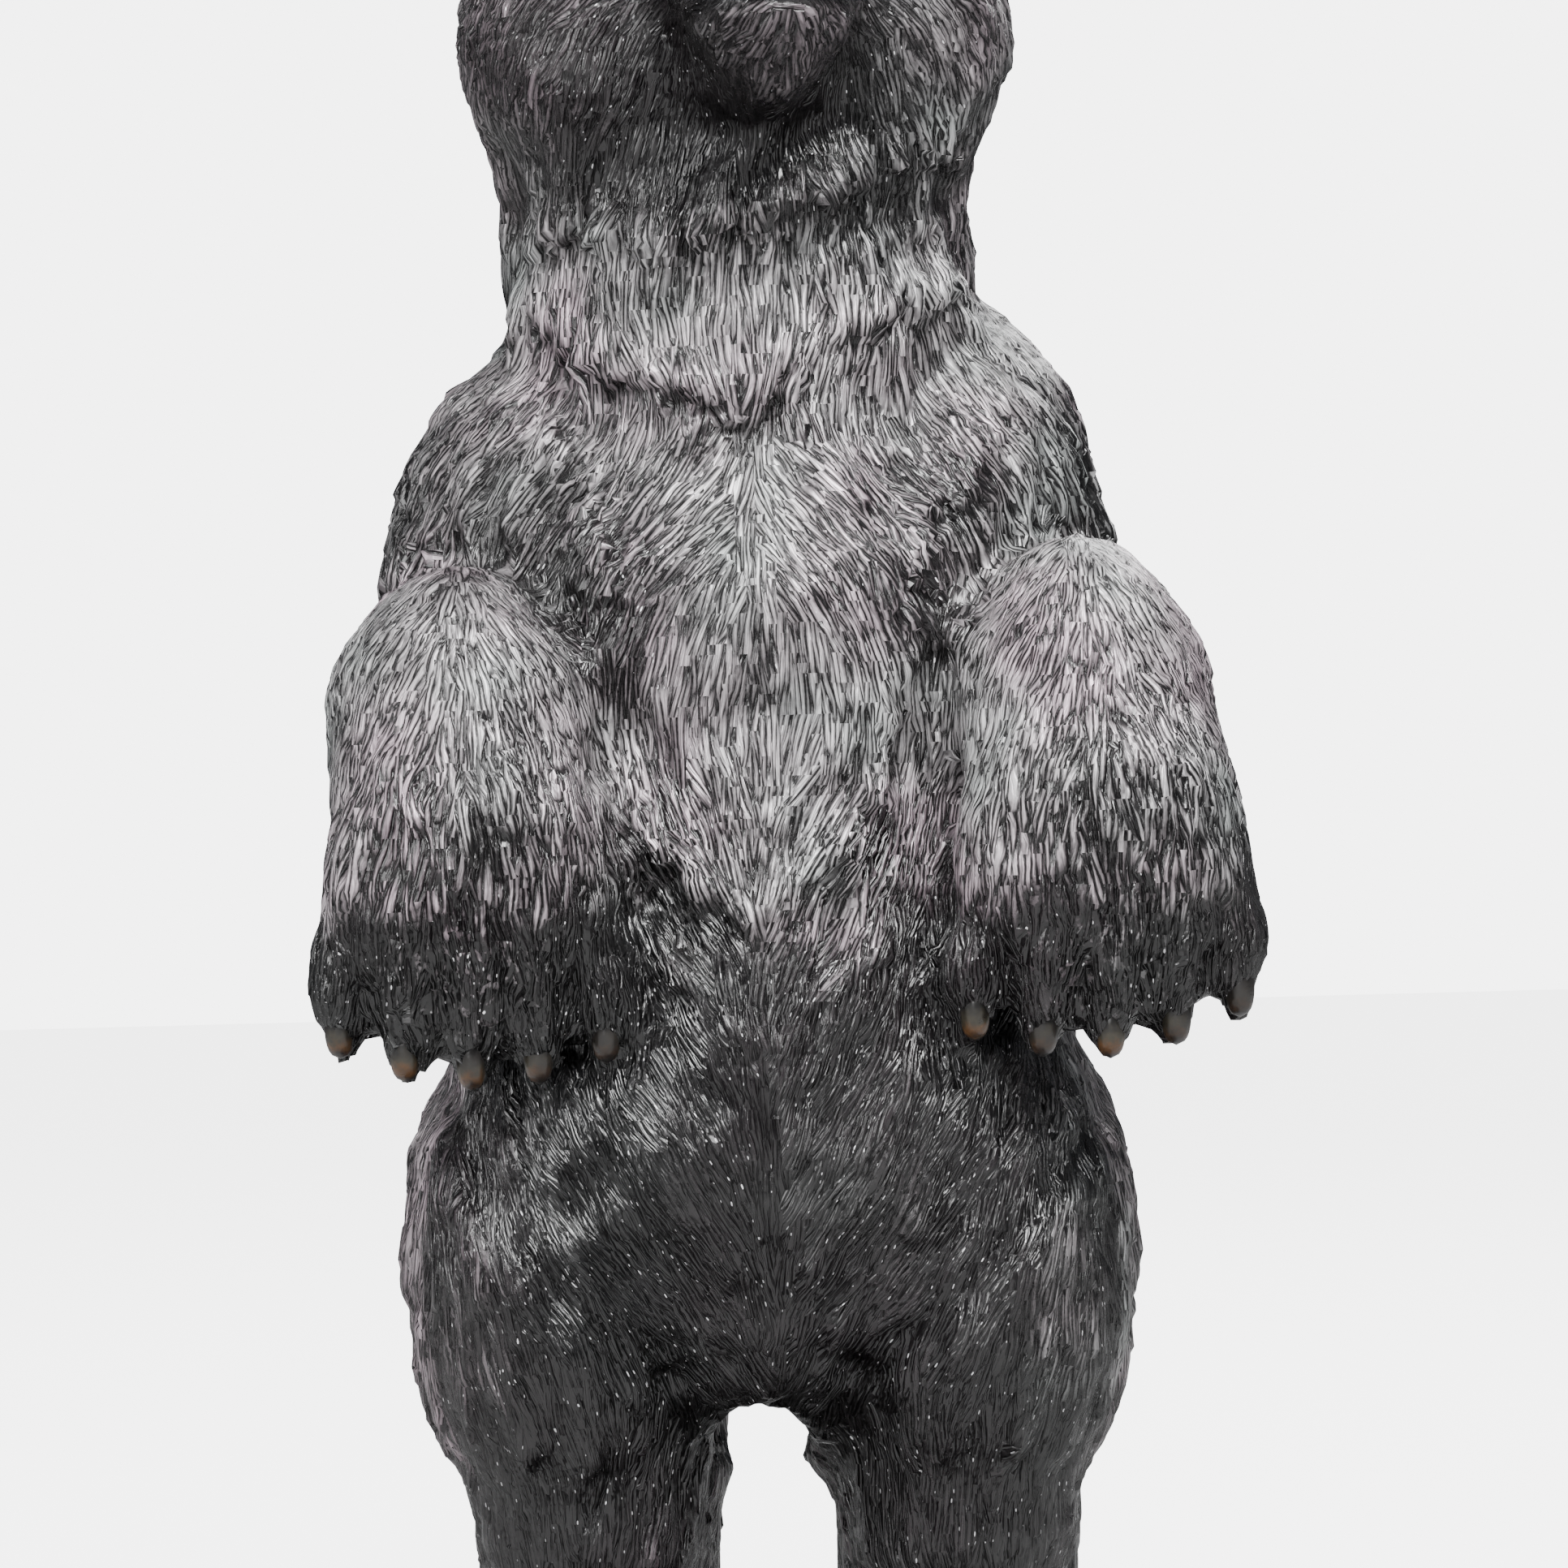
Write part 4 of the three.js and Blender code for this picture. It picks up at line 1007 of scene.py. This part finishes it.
furPaint = {
    "black": (0.0040, 0.0036, 0.0038),
    "pewter": (0.0205, 0.0184, 0.0193),
    "grey": (0.150, 0.138, 0.143),
    "silver": (0.430, 0.400, 0.412),
    "greenTint": (0.88, 0.99, 0.945),
    "pinkTint": (1.0, 0.865, 0.935),
    "strand": (1.35, 13.0),       # width and length of a carved strand, mm
    "fineStrand": (0.75, 8.0),
    "wander": 2.2,                # how far a strand wanders sideways, mm
    "strandDepth": 0.95,          # mm
    "glintCover": (-0.75, 0.78),  # how the share of painted glints falls as the silver gets brighter
}


# distance from the groove round each long thin cell, and a random value for the cell
def strandEdges(tree, strand, size, shift):
    place = stretched(tree, strand, (1 / size[0], 1 / size[1], 1), shift)
    edge, cell = (
        addNode(tree, "TexVoronoi", {"Vector": place, "Scale": 1},
                voronoi_dimensions="2D", feature=feature)
        for feature in ("DISTANCE_TO_EDGE", "F1")
    )
    return edge.outputs["Distance"], splitColour(tree, cell.outputs["Color"])[0]


# grooves made shallower: 1 where there is none, and the height as it was where the share is 1
def shallower(tree, height, share):
    return minus(tree, 1.0, times(tree, minus(tree, 1.0, height), share))


def furMaterial():
    material, tree, shader = newMaterial("furPaint")
    strand = attributeOf(tree, "strand", "Vector")
    proud = attributeOf(tree, "furHeight")
    # tone: the brushed silver with the painted light and shade in it
    tone = attributeOf(tree, "silver")
    tuft = attributeOf(tree, "tuft")
    place = objectPlace(tree)
    grain, patch = grainAndPatch(tree, place, 900.0, 17.0)
    bend = noiseOf(tree, stretched(tree, strand, (0.16, 0.07, 1)), 1.0, 1.0)
    aside = times(tree, minus(tree, bend, 0.5), 2 * furPaint["wander"])
    shift = addNode(tree, "CombineXYZ", {"X": aside}).outputs[0]
    wavy = addNode(tree, "VectorMath", {0: strand, 1: shift}, operation="ADD").outputs[0]
    wideEdge, wideChance = strandEdges(tree, wavy, furPaint["strand"], (0, 0, 0))
    fineEdge, _ = strandEdges(tree, wavy, furPaint["fineStrand"], (31.7, 17.3, 0))
    ridge = smoothStep(tree, wideEdge, 0.01, scaleAdd(tree, tuft, 0.16, 0.13))
    dome = smoothStep(tree, wideEdge, 0.0, 0.4)
    fine = smoothStep(tree, fineEdge, 0.0, 0.2)
    streak = noiseOf(tree, stretched(tree, wavy, (0.9, 0.16, 1)), 1.0, 2.0)
    clump = noiseOf(tree, stretched(tree, wavy, (0.27, 0.055, 1)), 1.0, 1.0)

    # the grooves come and go along the strands
    openness = smoothStep(tree, noiseOf(tree, place, 62.0, 2.0), 0.4, 0.62)
    broken = smoothStep(tree, streak, 0.62, 0.42)
    cut = scaleAdd(tree, openness, 0.25, scaleAdd(tree, tuft, 0.35, 0.3))
    cut = scaleAdd(tree, broken, 0.5, cut, clamp=True)
    ridge = shallower(tree, ridge, cut)
    dome = shallower(tree, dome, cut)

    # level: how bright the brushed silver is, each line as value, gain and base; the grooves
    # between the strands and the hollows of the tufts come out dark and the strand crests lighter,
    # partly the black left by the dry brush, partly painted shade
    hollow = times(tree, tuft, minus(tree, 0.75, proud, clamp=True))
    level = times(tree, ridge, scaleAdd(tree, dome, 0.6, 0.48))
    for value, gain, base in (
        (fine, 0.22, 0.78), (clump, 0.9, 0.52), (wideChance, 0.25, 0.8), (streak, 0.8, 0.58),
        (tone, 0.93, 0.08), (proud, 0.2, 0.88),
    ):
        level = times(tree, level, scaleAdd(tree, value, gain, base))
    level = times(tree, level, scaleAdd(tree, hollow, -1.0, 1.0, clamp=True))
    level = times(tree, level, scaleAdd(tree, patch, 0.8, 0.62))
    level = scaleAdd(tree, minus(tree, grain, 0.5), 0.2, level)

    # painted glints: irregular light dabs on the dark tufts
    glintDabNoise = noiseOf(tree, stretched(tree, wavy, (0.72, 0.3, 1)), 1.0, 3.0, 0.6)
    glintDab = times(tree, smoothStep(tree, glintDabNoise, 0.53, 0.64), minus(tree, 1.0, tone))
    level = scaleAdd(tree, times(tree, glintDab, tuft), 0.6, level)

    colour = rampNode(tree, level, [(0.06, furPaint["black"]), (0.33, furPaint["pewter"]),
                                    (0.6, furPaint["grey"]), (0.95, furPaint["silver"])])
    tints = rampNode(tree, noiseOf(tree, place, 19.0, 2.0), [
        (0.36, furPaint["greenTint"]), (0.5, (1, 0.985, 0.99)), (0.64, furPaint["pinkTint"]),
    ])
    colour = mixColour(tree, 1.0, colour, tints, "MULTIPLY")
    # painted glints drawn out into dashes along the strands, more of them where the silver is dark
    dashes = stretched(tree, wavy, (1, 0.36, 1))
    cover = scaleAdd(tree, tone, *furPaint["glintCover"])
    colour = addFlecks(tree, colour, dashes, 0.9, cover, 0.85)
    tree.links.new(times(tree, level, 0.5, clamp=True), shader.inputs["Metallic"])
    shader.inputs["Specular IOR Level"].default_value = 0.68
    rough = scaleAdd(tree, grain, 0.14, scaleAdd(tree, level, 0.22, 0.13))
    lift = scaleAdd(tree, ridge, 0.4, times(tree, dome, 0.55))
    lift = scaleAdd(tree, fine, 0.12, lift)
    lift = scaleAdd(tree, grain, 0.04, lift)
    lift = scaleAdd(tree, times(tree, tuft, streak), 1.7, lift)
    finishSurface(tree, shader, colour, rough, lift, 1.0, furPaint["strandDepth"])
    return material


def groundMaterial():
    material, tree, shader = newMaterial("groundPaint")
    place = objectPlace(tree)
    grain, patch = grainAndPatch(tree, place, 170.0, 22.0)
    stones = addNode(tree, "TexVoronoi", {"Vector": place, "Scale": 85.0}).outputs["Distance"]
    raised = scaleAdd(tree, grain, 0.7, times(tree, patch, 0.5))
    colour = rampNode(tree, raised, [
        (0.4, (0.006, 0.006, 0.006)), (0.62, (0.036, 0.034, 0.034)), (0.9, (0.17, 0.162, 0.162)),
    ])
    # painted glints on the ground
    colour = addFlecks(tree, colour, place, 440.0, 0.25, 0.6)
    shader.inputs["Metallic"].default_value = 0.3
    rough = scaleAdd(tree, grain, 0.3, 0.25)
    finishSurface(tree, shader, colour, rough, scaleAdd(tree, stones, -0.5, grain), 0.9, 1.4)
    return material


def clawMaterial():
    material, tree, shader = newMaterial("clawHorn")
    share = attributeOf(tree, "clawShare")
    grain, patch = grainAndPatch(tree, objectPlace(tree), 320.0, 55.0)
    colour = rampNode(tree, scaleAdd(tree, minus(tree, grain, 0.5), 0.5, share), [
        (0.3, (0.006, 0.0055, 0.005)), (0.55, (0.028, 0.024, 0.016)),
        (0.74, (0.085, 0.040, 0.015)), (0.95, (0.012, 0.010, 0.008)),
    ])
    worn = times(tree, smoothStep(tree, patch, 0.42, 0.6), 0.8)
    colour = mixColour(tree, worn, colour, (0.011, 0.0095, 0.009))
    shader.inputs["Coat Weight"].default_value = 0.15
    finishSurface(tree, shader, colour, scaleAdd(tree, grain, 0.25, 0.2), grain, 0.5, 0.5)
    return material


def skinMaterial(name, dullness):
    material, tree, shader = newMaterial(name)
    place = objectPlace(tree)
    grain, patch = grainAndPatch(tree, place, 700.0, 60.0)
    pores = addNode(tree, "TexVoronoi", {"Vector": place, "Scale": 900.0}, feature="SMOOTH_F1")
    colour = rampNode(tree, patch, [
        (0.35, (0.005, 0.0046, 0.0046)), (0.7, (0.018, 0.0165, 0.0165)),
    ])
    rough = scaleAdd(tree, grain, 0.24, dullness)
    finishSurface(tree, shader, colour, rough, pores.outputs["Distance"], 0.6, 0.3)
    return material


def eyeMaterial():
    material, tree, shader = newMaterial("eyeGloss")
    cloud = noiseOf(tree, objectPlace(tree), 180.0, 2.0)
    colour = rampNode(tree, cloud, [(0.3, (0.006, 0.005, 0.005)), (0.75, (0.035, 0.018, 0.010))])
    shader.inputs["Coat Weight"].default_value = 0.6
    finishSurface(tree, shader, colour, scaleAdd(tree, cloud, 0.08, 0.06), cloud, 0.1, 0.1)
    return material


print("materials")
for material in (furMaterial(), groundMaterial(), skinMaterial("noseLeather", 0.28)):
    bear.data.materials.append(material)
lidPaint = skinMaterial("eyelidPaint", 0.5)
for pieces, material in ((claws, clawMaterial()), (eyes, eyeMaterial()), (lids, lidPaint)):
    for piece in pieces:
        piece.data.materials.append(material)
centres = readCentres(bear.data)
onNose = (unturnedHead(centres) - np.array(noseShape["middle"])) / np.array(noseShape["size"])
slotOf = np.where(centres[:, 2] < groundTop, 1, 0)
slotOf[np.linalg.norm(onNose, axis=1) < 1] = 2
bear.data.polygons.foreach_set("material_index", slotOf.astype(np.int32))

print("joining the claws and eyes to the casting")
clearSelection()
for part in claws + eyes + lids:
    part.select_set(True)
bear.select_set(True)
bpy.context.view_layer.objects.active = bear
bpy.ops.object.join()
makeActive(bear)
bpy.ops.object.shade_smooth()
print("carved_bear:", sum(len(p.vertices) - 2 for p in bear.data.polygons), "triangles")
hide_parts("bear_statue")
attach(bear, "root")

studio = {
    "distance": 1.0,          # camera to the middle of the body, m
    "height": 0.307,
    "aside": 7.04,            # mm; the bear stands a little left of the middle of the frame
    "lens": 84.7,
    "roll": 1.5,
    "floorGlow": 4.3,         # what the camera sees of the floor and the room behind
    "roomGlow": 5.5,
    "roomLight": 0.16,        # what the bear gets of the room
    "keyPower": 53,
    "skyPower": 29,
    "fillPower": 19,
    "frontPower": 8.5,        # a narrow strip that the lacquer glints in
}


# one shader for the camera and another for the light that falls on the bear
def splitByCamera(tree, lit, seen, output):
    ray = addNode(tree, "LightPath").outputs["Is Camera Ray"]
    tree.links.new(addNode(tree, "MixShader", {0: ray, 1: lit, 2: seen}).outputs[0], output)


print("studio")
clearSelection()
bpy.ops.mesh.primitive_plane_add(size=8, location=(0, 0, 0))
floor = bpy.context.object
floor.name = "studio_floor"
floorMaterial, floorTree, floorShader = newMaterial("paleFloor")
for name, value in (("Base Color", (0.6, 0.6, 0.6, 1)), ("Roughness", 0.9),
                    ("Emission Color", (1, 1, 1, 1)), ("Emission Strength", studio["floorGlow"])):
    floorShader.inputs[name].default_value = value
floorDim = addNode(floorTree, "BsdfDiffuse", {"Color": (0.3, 0.3, 0.3, 1)})
splitByCamera(floorTree, floorDim.outputs[0], floorShader.outputs[0],
              floorTree.nodes["Material Output"].inputs[0])
floor.data.materials.append(floorMaterial)

world = bpy.data.worlds.new("paleStudio")
bpy.context.scene.world = world
world.use_nodes = True
worldTree = world.node_tree
worldTree.nodes.clear()
seen = addNode(worldTree, "Background", {"Color": (1, 1, 1, 1), "Strength": studio["roomGlow"]})
lit = addNode(worldTree, "Background",
              {"Color": (0.9, 0.93, 1.0, 1), "Strength": studio["roomLight"]})
splitByCamera(worldTree, lit.outputs[0], seen.outputs[0],
              addNode(worldTree, "OutputWorld").inputs[0])


def addSoftbox(name, place, aim, size, power):
    light = bpy.data.lights.new(name, "AREA")
    light.shape = "RECTANGLE"
    light.size, light.size_y = size
    light.energy = power
    lamp = bpy.data.objects.new(name, light)
    bpy.context.scene.collection.objects.link(lamp)
    lamp.location = place
    lamp.rotation_euler = (Vector(aim) - Vector(place)).to_track_quat("-Z", "Y").to_euler()


addSoftbox("key", (0.38, -0.85, 1.3), (0, -0.03, 0.32), (0.95, 0.65), studio["keyPower"])
addSoftbox("sky", (-0.1, -0.5, 1.7), (0, 0, 0.32), (1.6, 1.2), studio["skyPower"])
addSoftbox("fill", (-1.4, -0.5, 0.8), (0, 0, 0.3), (0.9, 0.9), studio["fillPower"])
addSoftbox("front", (-0.3, -1.15, 0.6), (0, 0, 0.27), (0.2, 0.7), studio["frontPower"])
addSoftbox("back", (0.3, 1.2, 1.2), (0, 0, 0.3), (1.2, 0.6), studio["fillPower"])

camera = bpy.data.objects.new("camera", bpy.data.cameras.new("camera"))
bpy.context.scene.collection.objects.link(camera)
camera.data.lens = studio["lens"]
camera.data.sensor_width = 36
camera.data.clip_start = 0.02
camera.location = (studio["aside"] * mm, -0.02 - studio["distance"], studio["height"])
level = Matrix.Rotation(math.radians(90), 3, "X")
camera.rotation_euler = (level @ Matrix.Rotation(math.radians(-studio["roll"]), 3, "Z")).to_euler()
bpy.context.scene.camera = camera
